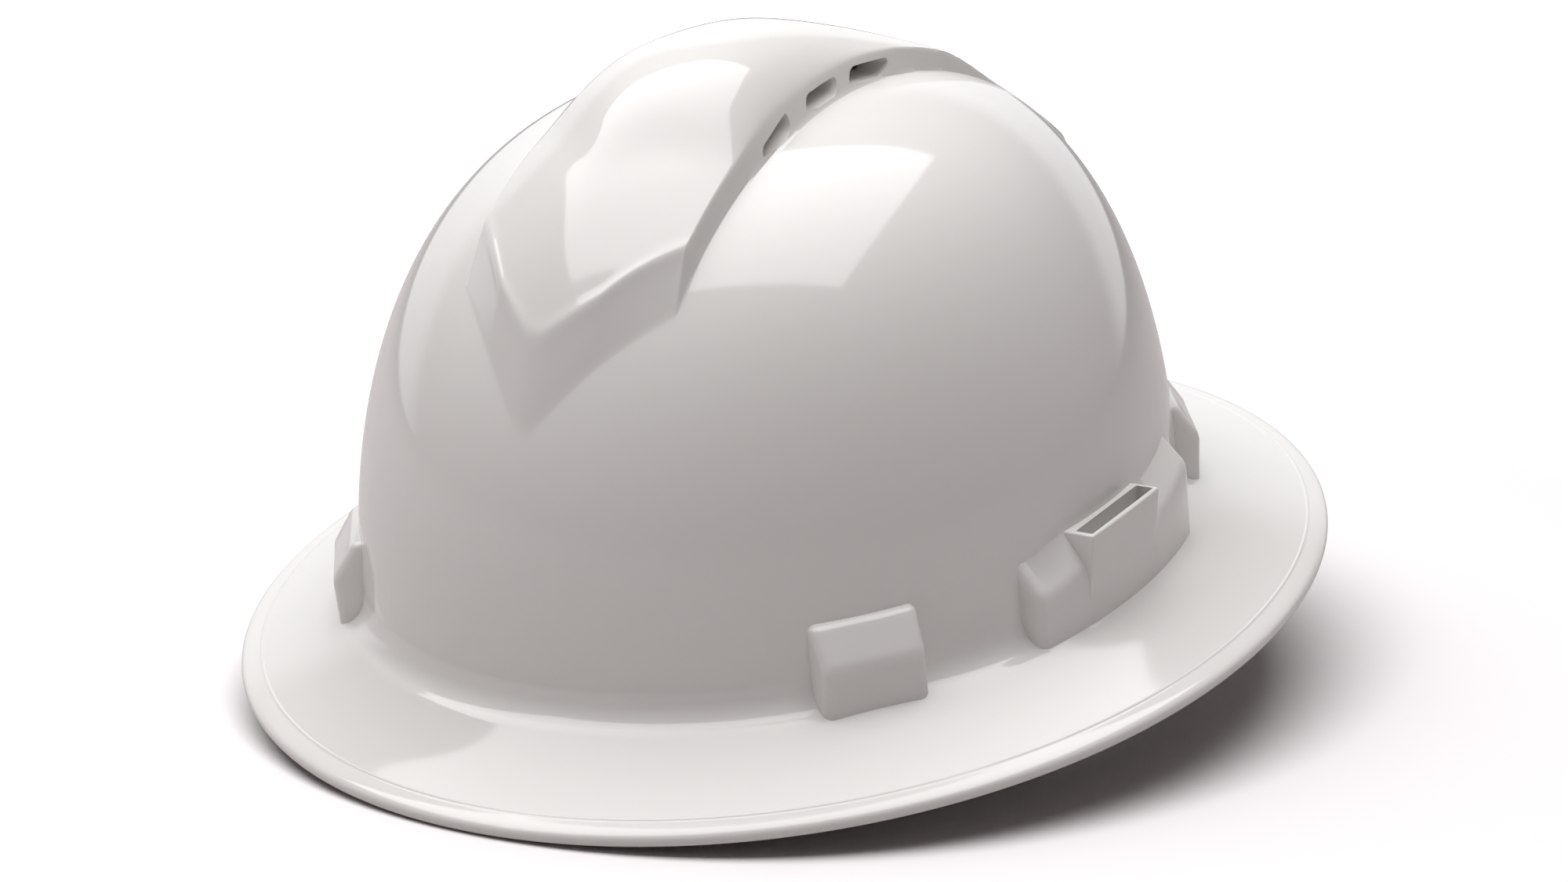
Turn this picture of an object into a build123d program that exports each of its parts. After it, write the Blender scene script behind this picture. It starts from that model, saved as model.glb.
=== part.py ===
from build123d import *
from build123d.topology import SkipClean
import math
import os

# Full brim hard hat with a four point ratchet suspension.
# Millimetres. The hat is drawn as it is worn: the wearer looks along -Y, their left is +X and +Z is up.
# The last step tips the whole hat onto its front brim and its nape ratchet, as it stands on a table.

# Shell
WALL = 2.4
DOME_CENTRE_Y = -10.3
DOME_HALF_LENGTH = 115.3
DOME_HALF_WIDTH = 97.4
DOME_EGG_SHARE = 0.025
DOME_BASE = 19.1
DOME_RISE = 115.9
DOME_LEAN = 3.2
DOME_CROWN_POWER = 2.106
DOME_WALL_POWER = 3.009
DOME_RING_SHARES = (0, 0.14, 0.28, 0.42, 0.55, 0.67, 0.77, 0.85, 0.91, 0.955, 0.98, 0.993)
RING_POINTS = 36

# Brim
BRIM_HALF_LENGTH = 155.0
BRIM_HALF_WIDTH = 131.0
BRIM_EGG_SHARE = 0.059
BRIM_SIDE_LIFT = 3.3
EDGE_HEIGHT = 3.0
EDGE_ROUND = 0.9
LIP_WIDTH = 2.6
LIP_DEPTH = 1.2
BEVEL_INSET = 5.3
BEVEL_STEP = 0.5
FILLET_REACH = 5.6
FILLET_RISE = 6.6
FILLET_SHARES = ((0.0, 1.0), (0.09, 0.66), (0.28, 0.34), (0.58, 0.11), (1.0, 0.0))

# Raised ridge over the crown, with a pointed end at front and back
RIDGE_SHIFT = 5.5
RIDGE_END_STAND = 3.3
RIDGE_SIDE_STAND = 8.0
RIDGE_CROWN_STAND = 6.2
RIDGE_LEAN = -6.6
RIDGE_CROWN_POWER = 1.894
RIDGE_FRONT_TIP = 111.0
RIDGE_FRONT_FACE = 9.0
RIDGE_FRONT_CORNER = (29.7, -87.5)
RIDGE_BACK_TIP = 99.0
RIDGE_BACK_FACE = 5.0
RIDGE_BACK_CORNER = (46.0, 66.0)
RIDGE_SIDE = ((28.0, -62.0), (26.2, -32.0), (25.0, -3.0), (27.4, 19.5), (33.5, 40.0))

# Spine hump on top of the ridge, as oval sections along the hat
HUMP_STATIONS = (-73.5, -68.0, -60.0, -50.0, -38.0, -22.0, -4.0, 16.0, 36.0, 56.0)
HUMP_RISES = (0.8, 3.2, 7.4, 10.3, 11.0, 9.9, 7.3, 3.4, 0.9, -2.0)
HUMP_HALF_WIDTHS = (2.5, 9.5, 16.8, 22.6, 25.0, 24.6, 24.2, 24.6, 26.0, 28.0)
HUMP_SINK = 2.0

# Vents in the ridge's sides
VENT_PLACES = ((-36.8, 134.4, 17.0), (-15.3, 137.0, 2.0), (6.2, 136.8, -7.0))
VENT_LENGTH = 13.0
VENT_HEIGHT = 3.8

# Key pockets, four blocks at the foot of the dome
BOSS_ANGLE = 48.6
BOSS_WIDTH = 23.6
BOSS_DEPTH = 7.0
BOSS_TOP = 19.0
BOSS_FACE_TOP = 11.4
POCKET_WIDTH = 19.0
POCKET_SKIN = 2.0
POCKET_TOP = 9.0

# Side blocks with the accessory slots
BLOCK_FACE = ((98.3, -48.3), (102.4, -10.0), (96.2, 30.0))
BLOCK_FACE_TOP = 13.0
BLOCK_SHOULDER_RUN = 11.5
BLOCK_SHOULDER_RISE = 8.4
SLOT_FRONT = -31.0
SLOT_BACK = 2.0
SLOT_MOUTH_TOP = 21.6
SLOT_OFFSET = 0.9
SLOT_WIDTH = 4.7
SLOT_RIM = 1.5

# Headband and brow pad
HEADBAND_HALF_LENGTH = 102.0
HEADBAND_HALF_WIDTH = 80.0
HEADBAND_THICKNESS = 1.8
HEADBAND_HEIGHT = 30.0
HEADBAND_BACK = 66.0
WINDOW_LENGTH = 11.0
WINDOW_HEIGHT = 5.0
WINDOW_LEVEL = 23.0
WINDOW_PLACES = (-44.0, -28.0, -12.0, 4.0, 20.0)
BROW_PAD_THICKNESS = 3.6
BROW_PAD_HALF_ANGLE = 42.0
BROW_PAD_OVERHANG = 1.2

# Suspension keys, in the frames of their pockets
FIT = 0.3
TONGUE_DROP = 0.4
BRIDGE_THICKNESS = 3.0
BRIDGE_DROP = 9.9
TOWER_WIDTH = 26.0
TOWER_DEPTH = 5.0
TOWER_INSET = 3.7
TOWER_RISE = 5.0
STUD_RADIUS = 3.0
STUD_DROP = 2.0
STUD_HEAD_RADIUS = 5.0
STUD_HEAD = 1.6
STRAP_SLOT_PLAY = 0.4

# Crown straps
STRAP_WIDTH = 19.0
STRAP_THICKNESS = 1.2
STRAP_APEX = 98.0
STRAP_APEX_STEP = 1.8
STRAP_POWER = 2.3
STRAP_TUCK = 6.0
STRAP_STATIONS = (2.0, 9.0, 20.0, 34.0, 52.0, 72.0)

# Nape arms
ARM_CENTRE_Y = -8.0
ARM_PLAY = 0.3
ARM_HEIGHT = 16.0
ARM_FRONT = -22.0
ARM_LEVEL = 9.0
ARM_BEND_FRONT = 6.0
ARM_BEND_BACK = 66.0
ARM_MEET_ANGLE = 40.0
ARM_TAIL_ANGLES = (37.4, 35.4, 33.4)
RIVET_PLACES = (-14.0, -2.0)
RIVET_RADIUS = 2.0
RIVET_HEAD_RADIUS = 3.6
RIVET_HEAD = 1.0
RIVET_GAP = 0.35

# Nape sleeve, curved about an upright axis behind the crown
NAPE_CENTRE_Y = 19.0
NAPE_LEVEL = -19.8
PLATE_RADIUS = 73.0
PLATE_THICKNESS = 2.0
SLEEVE_HALF_ANGLE = 36.0
SLEEVE_HALF_HEIGHT = 13.4
SLEEVE_WALL = 2.0
PAD_THICKNESS = 3.0
PAD_HALF_ANGLE = 31.0
PAD_HALF_HEIGHT = 12.0

# Racks and pinion
RACK_THICKNESS = 1.3
RACK_GAP = 0.4
RACK_HALF_HEIGHT = 11.0
RACK_START = -16.8
RACK_END = 41.0
RACK_SLOT_START = -11.8
RACK_SLOT_END = 34.3
RACK_SLOT_CLEARANCE = 1.4
RACK_TEETH = 11
PINION_TEETH = 10
TOOTH_PITCH = 3.927
TOOTH_ADDENDUM = 1.05
TOOTH_DEDENDUM = 1.5
TOOTH_TIP = 0.8
TOOTH_ROOT = 2.1
TOOTH_SINK = 0.6
JOURNAL_RADIUS = 3.0
SHAFT_RADIUS = 4.0

# Knob, detent and screw
HOUSING_RADIUS = 14.6
HOUSING_RISE = 4.6
DETENT_TEETH = 24
DETENT_RADIUS = 12.9
DETENT_TOOTH = 1.0
HUB_RADIUS = 6.6
PAWL_THICKNESS = 1.6
PAWL_RADIUS = 9.4
PAWL_ARM = 1.3
PAWL_TIP = 2.9
KNOB_RADIUS = 15.5
KNOB_THICKNESS = 10.5
KNOB_FLUTES = 14
FLUTE_RADIUS = 1.5
KNOB_EDGE = 1.0
KNOB_DISH_RADIUS = 9.0
KNOB_DISH = 1.2
SCREW_RADIUS = 1.3
SCREW_HEAD_RADIUS = 2.9
SCREW_HEAD = 1.8
SCREW_LENGTH = 9.0
SCREW_CROSS = 0.8

OVERRUN = 30.0
ARM_HALF_WIDTH = HEADBAND_HALF_WIDTH + HEADBAND_THICKNESS + ARM_PLAY
PITCH_RADIUS = TOOTH_PITCH * PINION_TEETH / (2 * math.pi)
LOW_RACK_RADIUS = PLATE_RADIUS + PLATE_THICKNESS + FIT
HIGH_RACK_RADIUS = LOW_RACK_RADIUS + RACK_THICKNESS + RACK_GAP
COVER_RADIUS = HIGH_RACK_RADIUS + RACK_THICKNESS + RACK_GAP


def oval_point(angle, centre_y, half_length, half_width, egg_share):
    """A point of an egg shaped ring, by an angle that is 0 at the forehead and 180 at the nape."""
    across = half_width * math.sin(angle) * (1 + egg_share * math.cos(angle))
    return across, centre_y - half_length * math.cos(angle)


def ring(place):
    """A closed smooth ring through the points that place gives for angles all the way round."""
    points = [place(2 * math.pi * step / RING_POINTS) for step in range(RING_POINTS)]
    return Wire([Edge.make_spline(points, periodic=True)])


def dome_point(angle, share, inset=0.0):
    """A point of the dome: share is 0 at its foot and 1 at its crown."""
    shrink = (1 - share**DOME_CROWN_POWER) ** (1 / DOME_WALL_POWER)
    x, y = oval_point(
        angle,
        DOME_CENTRE_Y + DOME_LEAN * share,
        (DOME_HALF_LENGTH - inset) * shrink,
        (DOME_HALF_WIDTH - inset) * shrink,
        DOME_EGG_SHARE * shrink,
    )
    return x, y, DOME_BASE + (DOME_RISE - inset) * share


def foot_point(angle, out):
    """A point at the foot of the dome, moved outwards by a distance."""
    return oval_point(angle, DOME_CENTRE_Y, DOME_HALF_LENGTH + out, DOME_HALF_WIDTH + out, DOME_EGG_SHARE)


def foot_prism(out, low, high):
    """The dome's foot outline, grown by out, as a solid between two heights."""
    outline = ring(lambda angle: (*foot_point(angle, out), low))
    return Solid(extrude(Face(outline), high - low, dir=(0, 0, 1)).wrapped)


def dome(inset, foot_drop):
    """The dome as a solid, drawn in by inset, with its foot carried straight down by foot_drop."""
    body = Solid.make_loft([ring(lambda a, s=s: dome_point(a, s, inset)) for s in DOME_RING_SHARES])
    if foot_drop:
        body = body + foot_prism(-inset, DOME_BASE - foot_drop, DOME_BASE)
    return body


def height_on(point_at, x, y):
    """The height at which a family of rings passes over x, y, found by halving."""
    low, high = 0.0, 1.0
    for _ in range(40):
        share = (low + high) / 2
        front, back = point_at(0.0, share)[1], point_at(math.pi, share)[1]
        side = point_at(math.pi / 2, share)[0]
        across, along = x / max(side, 1e-9), (y - (front + back) / 2) / max((back - front) / 2, 1e-9)
        if across * across + along * along < 1:
            low = share
        else:
            high = share
    return point_at(0.0, low)[2]


def ridge_point(angle, share, inset=0.0):
    """A point of the larger dome that carries the ridge's top face."""
    shrink = (1 - share**RIDGE_CROWN_POWER) ** (1 / DOME_WALL_POWER)
    x, y = oval_point(
        angle,
        DOME_CENTRE_Y + RIDGE_SHIFT + RIDGE_LEAN * share,
        (DOME_HALF_LENGTH + RIDGE_END_STAND - inset) * shrink,
        (DOME_HALF_WIDTH + RIDGE_SIDE_STAND - inset) * shrink,
        0.0,
    )
    return x, y, DOME_BASE + (DOME_RISE + RIDGE_CROWN_STAND - inset) * share


def ridge_outline(inset):
    """The ridge seen from above, drawn in by inset, as a face at height zero."""
    front = (0, -RIDGE_FRONT_TIP + inset)
    back = (0, RIDGE_BACK_TIP - inset)
    corner = (RIDGE_FRONT_CORNER[0] - inset, RIDGE_FRONT_CORNER[1] + inset / 2)
    heel = (RIDGE_BACK_CORNER[0] - inset, RIDGE_BACK_CORNER[1] - inset / 2)
    side = [corner] + [(x - inset, y) for x, y in RIDGE_SIDE] + [heel]
    mirrored = [(-x, y) for x, y in side]
    edges = [
        Edge.make_line((*front, 0), (*corner, 0)),
        Edge.make_spline([(x, y, 0) for x, y in side]),
        Edge.make_line((*heel, 0), (*back, 0)),
        Edge.make_line((*back, 0), (-heel[0], heel[1], 0)),
        Edge.make_spline([(x, y, 0) for x, y in mirrored[::-1]]),
        Edge.make_line((-corner[0], corner[1], 0), (*front, 0)),
    ]
    return Face(Wire(edges))


def end_plane(tip, corner, face_run, inset, sign):
    """The sloping plane of one half of the ridge's pointed end, facing outwards."""
    low_tip = Vector(0, tip, height_on(dome_point, 0, tip))
    low_corner = Vector(sign * corner[0], corner[1], height_on(dome_point, *corner))
    inward = -1 if tip > 0 else 1
    top_y = tip + inward * face_run
    high_tip = Vector(0, top_y, height_on(ridge_point, 0, top_y))
    normal = (low_corner - low_tip).cross(high_tip - low_tip).normalized()
    if normal.Z < 0:
        normal = normal * -1
    return Plane(origin=low_tip - normal * inset, z_dir=normal)


def hump(inset):
    """The rounded spine along the ridge's top."""
    sections = []
    for y, rise, half_width in zip(HUMP_STATIONS, HUMP_RISES, HUMP_HALF_WIDTHS):
        seat = height_on(ridge_point, 0, y) - HUMP_SINK
        frame = Plane(origin=(0, y, seat), x_dir=(1, 0, 0), z_dir=(0, -1, 0))
        tall = max(rise + HUMP_SINK - inset, HUMP_SINK / 4)
        wide = max(half_width - inset, HUMP_SINK / 2)
        sections.append(Wire([Edge.make_ellipse(wide, tall, plane=frame)]))
    return Solid.make_loft(sections)


def ridge(inset):
    """The raised ridge as a solid that reaches down into the dome."""
    top = Solid.make_loft([ring(lambda a, s=s: ridge_point(a, s, inset)) for s in DOME_RING_SHARES])
    low = height_on(dome_point, *RIDGE_BACK_CORNER) - OVERRUN
    high = DOME_BASE + DOME_RISE + OVERRUN
    body = top & extrude(Pos(0, 0, low) * ridge_outline(inset), high - low, dir=(0, 0, 1))
    for sign in (-1, 1):
        for tip, corner, run in (
            (-RIDGE_FRONT_TIP, RIDGE_FRONT_CORNER, RIDGE_FRONT_FACE),
            (RIDGE_BACK_TIP, RIDGE_BACK_CORNER, RIDGE_BACK_FACE),
        ):
            body = split(body, bisect_by=end_plane(tip, corner, run, inset, sign), keep=Keep.BOTTOM)
    return body + hump(inset)


def brim_ring(out, inset, height, lift_share, top=True):
    """A ring of the brim: by its distance out from the dome's foot, or its inset from the edge."""

    def place(angle):
        foot = Vector(*foot_point(angle, 0), 0)
        edge = Vector(*oval_point(angle, 0, BRIM_HALF_LENGTH, BRIM_HALF_WIDTH, BRIM_EGG_SHARE), 0)
        along = (edge - foot).normalized()
        point = foot + along * out if inset is None else edge - along * inset
        lift = lift_share * BRIM_SIDE_LIFT * math.sin(angle) ** 2
        return point.X, point.Y, height + lift

    return ring(place)


def brim_top():
    """Everything below the brim's upper face."""
    slope_foot = DOME_BASE - WALL / 2
    rings = [
        brim_ring(0, 0, -OVERRUN, 0),
        brim_ring(0, 0, EDGE_HEIGHT - EDGE_ROUND, 1),
        brim_ring(0, EDGE_ROUND, EDGE_HEIGHT, 1),
        brim_ring(0, BEVEL_INSET, EDGE_HEIGHT + BEVEL_STEP + EDGE_ROUND, 1),
    ]
    for reach, rise in reversed(FILLET_SHARES):
        share = 1 - reach
        lift = slope_foot + FILLET_RISE * rise - WALL * reach
        rings.append(brim_ring(FILLET_REACH * reach, None, lift, reach * 0.1))
    rings.append(brim_ring(-WALL / 2, None, DOME_BASE + FILLET_RISE + WALL, 0))
    return Solid.make_loft(rings, ruled=True)


def brim_underside():
    """Everything below the brim's lower face."""
    slope_foot = DOME_BASE - WALL / 2 - WALL
    rings = [
        brim_ring(0, -WALL, -OVERRUN - WALL, 0),
        brim_ring(0, -WALL, EDGE_ROUND, 1),
        brim_ring(0, 0, EDGE_ROUND, 1),
        brim_ring(0, EDGE_ROUND, 0, 1),
        brim_ring(0, LIP_WIDTH, 0, 1),
        brim_ring(0, LIP_WIDTH + LIP_DEPTH, LIP_DEPTH, 1),
        brim_ring(FILLET_REACH, None, slope_foot - WALL, 0.1),
        brim_ring(0, None, slope_foot, 0),
        brim_ring(-WALL - FIT, None, slope_foot + WALL / 2, 0),
        brim_ring(-2 * WALL, None, slope_foot + WALL / 2, 0),
    ]
    return Solid.make_loft(rings, ruled=True)


def corner_frame(front, side):
    """The frame of one key pocket: X out from the hat and Y up."""
    angle = math.radians(BOSS_ANGLE if front else 180 - BOSS_ANGLE)
    x, y = foot_point(angle, 0)
    out = Vector(math.sin(angle) / DOME_HALF_WIDTH, -math.cos(angle) / DOME_HALF_LENGTH, 0).normalized()
    out = Vector(side * out.X, out.Y, 0)
    return Plane(origin=(side * x, y, DOME_BASE), x_dir=out, z_dir=out.cross(Vector(0, 0, 1)))


def bar(frame, points, width):
    """A profile in a frame's X and Y, as a bar with a width along the frame's Z."""
    outline = make_face(Polyline(*points, close=True))
    return extrude(frame * outline, width / 2, both=True)


def boss(front, side):
    """The block that covers one key pocket, with its sloping shoulder."""
    profile = (
        (-WALL / 2, -OVERRUN / 2),
        (BOSS_DEPTH, -OVERRUN / 2),
        (BOSS_DEPTH, BOSS_FACE_TOP),
        (0, BOSS_TOP),
        (-WALL / 2, BOSS_TOP),
    )
    return bar(corner_frame(front, side), profile, BOSS_WIDTH)


def pocket(front, side):
    """The hollow in a block that a suspension key is pushed up into."""
    deep = BOSS_DEPTH - POCKET_SKIN
    foot = ((0, -OVERRUN), (deep, -OVERRUN))
    profile = (*foot, (deep, POCKET_TOP - deep / 2), (deep / 2, POCKET_TOP), (0, POCKET_TOP))
    return bar(corner_frame(front, side), profile, POCKET_WIDTH)


def side_box(side, inner, outer, front, back, low, high):
    """A box on one side of the hat, given by its six faces."""
    size = Box(outer - inner, back - front, high - low)
    return Pos(side * (inner + outer) / 2, (front + back) / 2, (low + high) / 2) * size


def side_block(side):
    """The block on one side of the hat, with a sloping shoulder and a raised slot mouth."""
    inner = DOME_HALF_WIDTH - WALL - BLOCK_SHOULDER_RUN
    face = BLOCK_FACE[1][0]
    low = DOME_BASE - OVERRUN / 2
    start, middle, end = [(side * x, y, low) for x, y in BLOCK_FACE]
    outline = Wire(
        [
            Edge.make_three_point_arc(start, middle, end),
            Edge.make_line(end, (side * inner, end[1], low)),
            Edge.make_line((side * inner, end[1], low), (side * inner, start[1], low)),
            Edge.make_line((side * inner, start[1], low), start),
        ]
    )
    body = extrude(Face(outline), OVERRUN + BLOCK_FACE_TOP, dir=(0, 0, 1))
    frame = Plane(origin=(0, 0, DOME_BASE), x_dir=(side, 0, 0), z_dir=(0, -side, 0))
    profile = (
        (inner, -OVERRUN),
        (face + WALL, -OVERRUN),
        (face + WALL, BLOCK_FACE_TOP - WALL * BLOCK_SHOULDER_RISE / BLOCK_SHOULDER_RUN),
        (face - BLOCK_SHOULDER_RUN, BLOCK_FACE_TOP + BLOCK_SHOULDER_RISE),
        (inner, BLOCK_FACE_TOP + BLOCK_SHOULDER_RISE),
    )
    body = body & bar(frame, profile, 4 * OVERRUN)
    outer = DOME_HALF_WIDTH + SLOT_OFFSET + SLOT_WIDTH + SLOT_RIM
    return body + side_box(side, inner, outer, SLOT_FRONT, SLOT_BACK, low, DOME_BASE + SLOT_MOUTH_TOP)


def side_slot(side):
    """The accessory slot, open at its mouth and under the brim."""
    inner = DOME_HALF_WIDTH + SLOT_OFFSET
    top = DOME_BASE + SLOT_MOUTH_TOP + OVERRUN
    front, back = SLOT_FRONT + SLOT_RIM, SLOT_BACK - SLOT_RIM
    return side_box(side, inner, inner + SLOT_WIDTH, front, back, -OVERRUN, top)


def vent(place, side):
    """One vent, cut straight through the ridge's side, with a chamfered mouth."""
    y, z, slope = place
    frame = Plane(origin=(0, y, z), x_dir=(0, side, 0), z_dir=(side, 0, 0)).rotated((0, 0, side * slope))
    reach = RIDGE_FRONT_CORNER[0]
    hole = extrude(frame * SlotOverall(VENT_LENGTH, VENT_HEIGHT), 2 * reach)
    return hole - Pos(0, y, z) * Box(reach, 2 * reach, 2 * reach)


def make_shell():
    """The shell in one piece: dome, brim, ridge, blocks, pockets, slots and vents."""
    with SkipClean():
        hollow = dome(WALL, OVERRUN)
        inner_ridge = ridge(WALL)
        crest = ridge(0) - hollow - inner_ridge
        shell = dome(0, 0) + brim_top()
        for side in (-1, 1):
            shell = shell + side_block(side)
            for front in (True, False):
                shell = shell + boss(front, side)
        shell = shell - brim_underside() - hollow - inner_ridge + crest
        for side in (-1, 1):
            shell = shell - side_slot(side)
            for front in (True, False):
                shell = shell - pocket(front, side)
            for place in VENT_PLACES:
                shell = shell - vent(place, side)
    return shell


def oval_band(half_length, half_width, thickness, low, high):
    """An upright band round the head, by its inner half axes."""
    outline = Ellipse(half_length + thickness, half_width + thickness) - Ellipse(half_length, half_width)
    return Pos(0, DOME_CENTRE_Y, low) * Rot(0, 0, 90) * extrude(outline, high - low)


def stud_depth():
    """How far in from the dome's foot the headband's outer face lies at a key."""
    angle = math.radians(BOSS_ANGLE)
    x, y = foot_point(angle, 0)
    out = corner_frame(True, 1).x_dir
    depth = 0.0
    wide, long = HEADBAND_HALF_WIDTH + HEADBAND_THICKNESS, HEADBAND_HALF_LENGTH + HEADBAND_THICKNESS
    low, high = 0.0, float(HEADBAND_HALF_WIDTH)
    for _ in range(40):
        depth = (low + high) / 2
        along, across = (x - out.X * depth) / wide, (y - DOME_CENTRE_Y - out.Y * depth) / long
        if along * along + across * across > 1:
            low = depth
        else:
            high = depth
    return depth


def make_headband():
    """The oval band with its windows and the holes for the keys and rivets."""
    band = oval_band(HEADBAND_HALF_LENGTH, HEADBAND_HALF_WIDTH, HEADBAND_THICKNESS, 0, HEADBAND_HEIGHT)
    reach = 2 * HEADBAND_HALF_LENGTH
    band = band - Pos(0, HEADBAND_BACK + reach / 2, 0) * Box(reach, reach, reach)
    through = Plane(origin=(0, 0, 0), x_dir=(0, 1, 0), z_dir=(1, 0, 0))
    for place in WINDOW_PLACES:
        window = Pos(place, WINDOW_LEVEL) * Rectangle(WINDOW_LENGTH, WINDOW_HEIGHT)
        band = band - extrude(through * window, reach, both=True)
    for place in RIVET_PLACES:
        hole = Pos(place, ARM_LEVEL) * Circle(RIVET_RADIUS + FIT)
        band = band - extrude(through * hole, reach, both=True)
    for side in (-1, 1):
        for front in (True, False):
            frame = stud_frame(front, side)
            band = band - extrude(frame * Circle(STUD_RADIUS + FIT), OVERRUN, both=True)
    return band


def stud_frame(front, side):
    """The frame of a key's stud: Z points in from the headband's outer face."""
    frame = corner_frame(front, side)
    origin = frame.origin - frame.x_dir * stud_depth() - Vector(0, 0, STUD_DROP)
    return Plane(origin=origin, x_dir=frame.z_dir, z_dir=frame.x_dir * -1)


def make_key(front, side):
    """A suspension key: tongue, bridge, slotted tower and the stud that holds the headband."""
    frame = corner_frame(front, side)
    deep = BOSS_DEPTH - POCKET_SKIN
    low = -BRIDGE_DROP
    bridge_top = low + BRIDGE_THICKNESS
    tongue_top = POCKET_TOP - deep / 2 - TONGUE_DROP
    inner = -TOWER_INSET - TOWER_DEPTH
    tongue = ((FIT, low), (deep - FIT, low), (deep - FIT, tongue_top), (FIT, tongue_top))
    bridge = ((inner, low), (deep - FIT, low), (deep - FIT, bridge_top), (inner, bridge_top))
    tower = ((inner, low), (-TOWER_INSET, low), (-TOWER_INSET, TOWER_RISE), (inner, TOWER_RISE))
    key = bar(frame, tongue, POCKET_WIDTH - 2 * FIT)
    key = key + bar(frame, bridge, POCKET_WIDTH - 2 * FIT) + bar(frame, tower, TOWER_WIDTH)
    middle = (inner - TOWER_INSET) / 2
    half = STRAP_THICKNESS / 2 + STRAP_SLOT_PLAY
    low, high = middle - half, middle + half
    slot = ((low, bridge_top), (high, bridge_top), (high, OVERRUN), (low, OVERRUN))
    key = key - bar(frame, slot, STRAP_WIDTH + 2 * STRAP_SLOT_PLAY)
    stud = stud_frame(front, side)
    head_seat = HEADBAND_THICKNESS + 2 * FIT
    length = stud_depth() + inner + head_seat
    shaft = extrude(stud.offset(head_seat) * Circle(STUD_RADIUS), -length)
    return key + shaft + extrude(stud.offset(head_seat) * Circle(STUD_HEAD_RADIUS), STUD_HEAD)


def strap_section(place, across, along):
    """The rectangle of a strap at one place along its arch."""
    frame = Plane(origin=place, x_dir=across, z_dir=along)
    return Wire((frame * Rectangle(STRAP_WIDTH, STRAP_THICKNESS)).face().outer_wire().wrapped)


def make_strap(side, apex):
    """One crown strap, from a front key over the head to the far rear key."""
    ends = []
    for front, flank in ((True, side), (False, -side)):
        frame = corner_frame(front, flank)
        foot = frame.origin - frame.x_dir * (TOWER_INSET + TOWER_DEPTH / 2)
        across = frame.z_dir if front else frame.z_dir * -1
        ends.append((Vector(foot.X, foot.Y, DOME_BASE + TOWER_RISE), across * flank))
    (start, start_across), (end, end_across) = ends
    if start_across.dot(end_across) < 0:
        end_across = end_across * -1
    centre, half = (start + end) / 2, (start - end) / 2
    rise = apex - start.Z
    stations = [math.radians(a) for a in STRAP_STATIONS]
    turns = stations + [math.pi / 2] + [math.pi - a for a in reversed(stations)]

    def arch(turn):
        c, s = math.cos(turn), math.sin(turn)
        reach = math.copysign(abs(c) ** (2 / STRAP_POWER), c)
        return centre + half * reach + Vector(0, 0, rise * s ** (2 / STRAP_POWER))

    drops = (STRAP_TUCK, 0)
    sections = [strap_section(start - Vector(0, 0, drop), start_across, (0, 0, 1)) for drop in drops]
    for turn in turns:
        along = (arch(turn + 0.01) - arch(turn - 0.01)).normalized()
        share = (1 - math.cos(turn)) / 2
        across = start_across * (1 - share) + end_across * share
        across = (across - along * across.dot(along)).normalized()
        sections.append(strap_section(arch(turn), across, along))
    drops = (0, STRAP_TUCK)
    sections += [strap_section(end - Vector(0, 0, drop), end_across, (0, 0, -1)) for drop in drops]
    return Solid.make_loft(sections)


def make_brow_pad():
    """The soft pad inside the front of the headband."""
    low, high = -BROW_PAD_OVERHANG, HEADBAND_HEIGHT + BROW_PAD_OVERHANG
    inset = FIT + BROW_PAD_THICKNESS
    long, wide = HEADBAND_HALF_LENGTH - inset, HEADBAND_HALF_WIDTH - inset
    pad = oval_band(long, wide, BROW_PAD_THICKNESS, low, high)
    angle = math.radians(BROW_PAD_HALF_ANGLE)
    edge_x, edge_y = wide * math.sin(angle), DOME_CENTRE_Y - long * math.cos(angle)
    reach = 2 * HEADBAND_HALF_LENGTH
    wedge = make_face(
        Polyline(
            (0, DOME_CENTRE_Y),
            (2 * edge_x, 2 * edge_y - DOME_CENTRE_Y),
            (-2 * edge_x, 2 * edge_y - DOME_CENTRE_Y),
            close=True,
        )
    )
    pad = pad & extrude(wedge, reach, both=True)
    upright = [edge for edge in pad.edges() if abs(edge.tangent_at(0.5).Z) > 0.9]
    return fillet(upright, BROW_PAD_THICKNESS / 3)


def nape_point(radius, degrees, height=0.0):
    """A point about the nape sleeve's axis; the angle is 0 straight back and grows to the left."""
    turn = math.radians(degrees)
    return Vector(radius * math.sin(turn), NAPE_CENTRE_Y + radius * math.cos(turn), height)


def nape_wall(inner, outer, start, end, low, high):
    """A piece of an upright cylinder wall about the nape sleeve's axis; heights are from its middle."""
    level = NAPE_LEVEL + low
    middle = (start + end) / 2
    places = ((inner, start), (inner, end), (outer, end), (outer, start))
    corners = [nape_point(radius, angle, level) for radius, angle in places]
    outline = Wire(
        [
            Edge.make_three_point_arc(corners[0], nape_point(inner, middle, level), corners[1]),
            Edge.make_line(corners[1], corners[2]),
            Edge.make_three_point_arc(corners[2], nape_point(outer, middle, level), corners[3]),
            Edge.make_line(corners[3], corners[0]),
        ]
    )
    return extrude(Face(outline), high - low, dir=(0, 0, 1))


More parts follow.
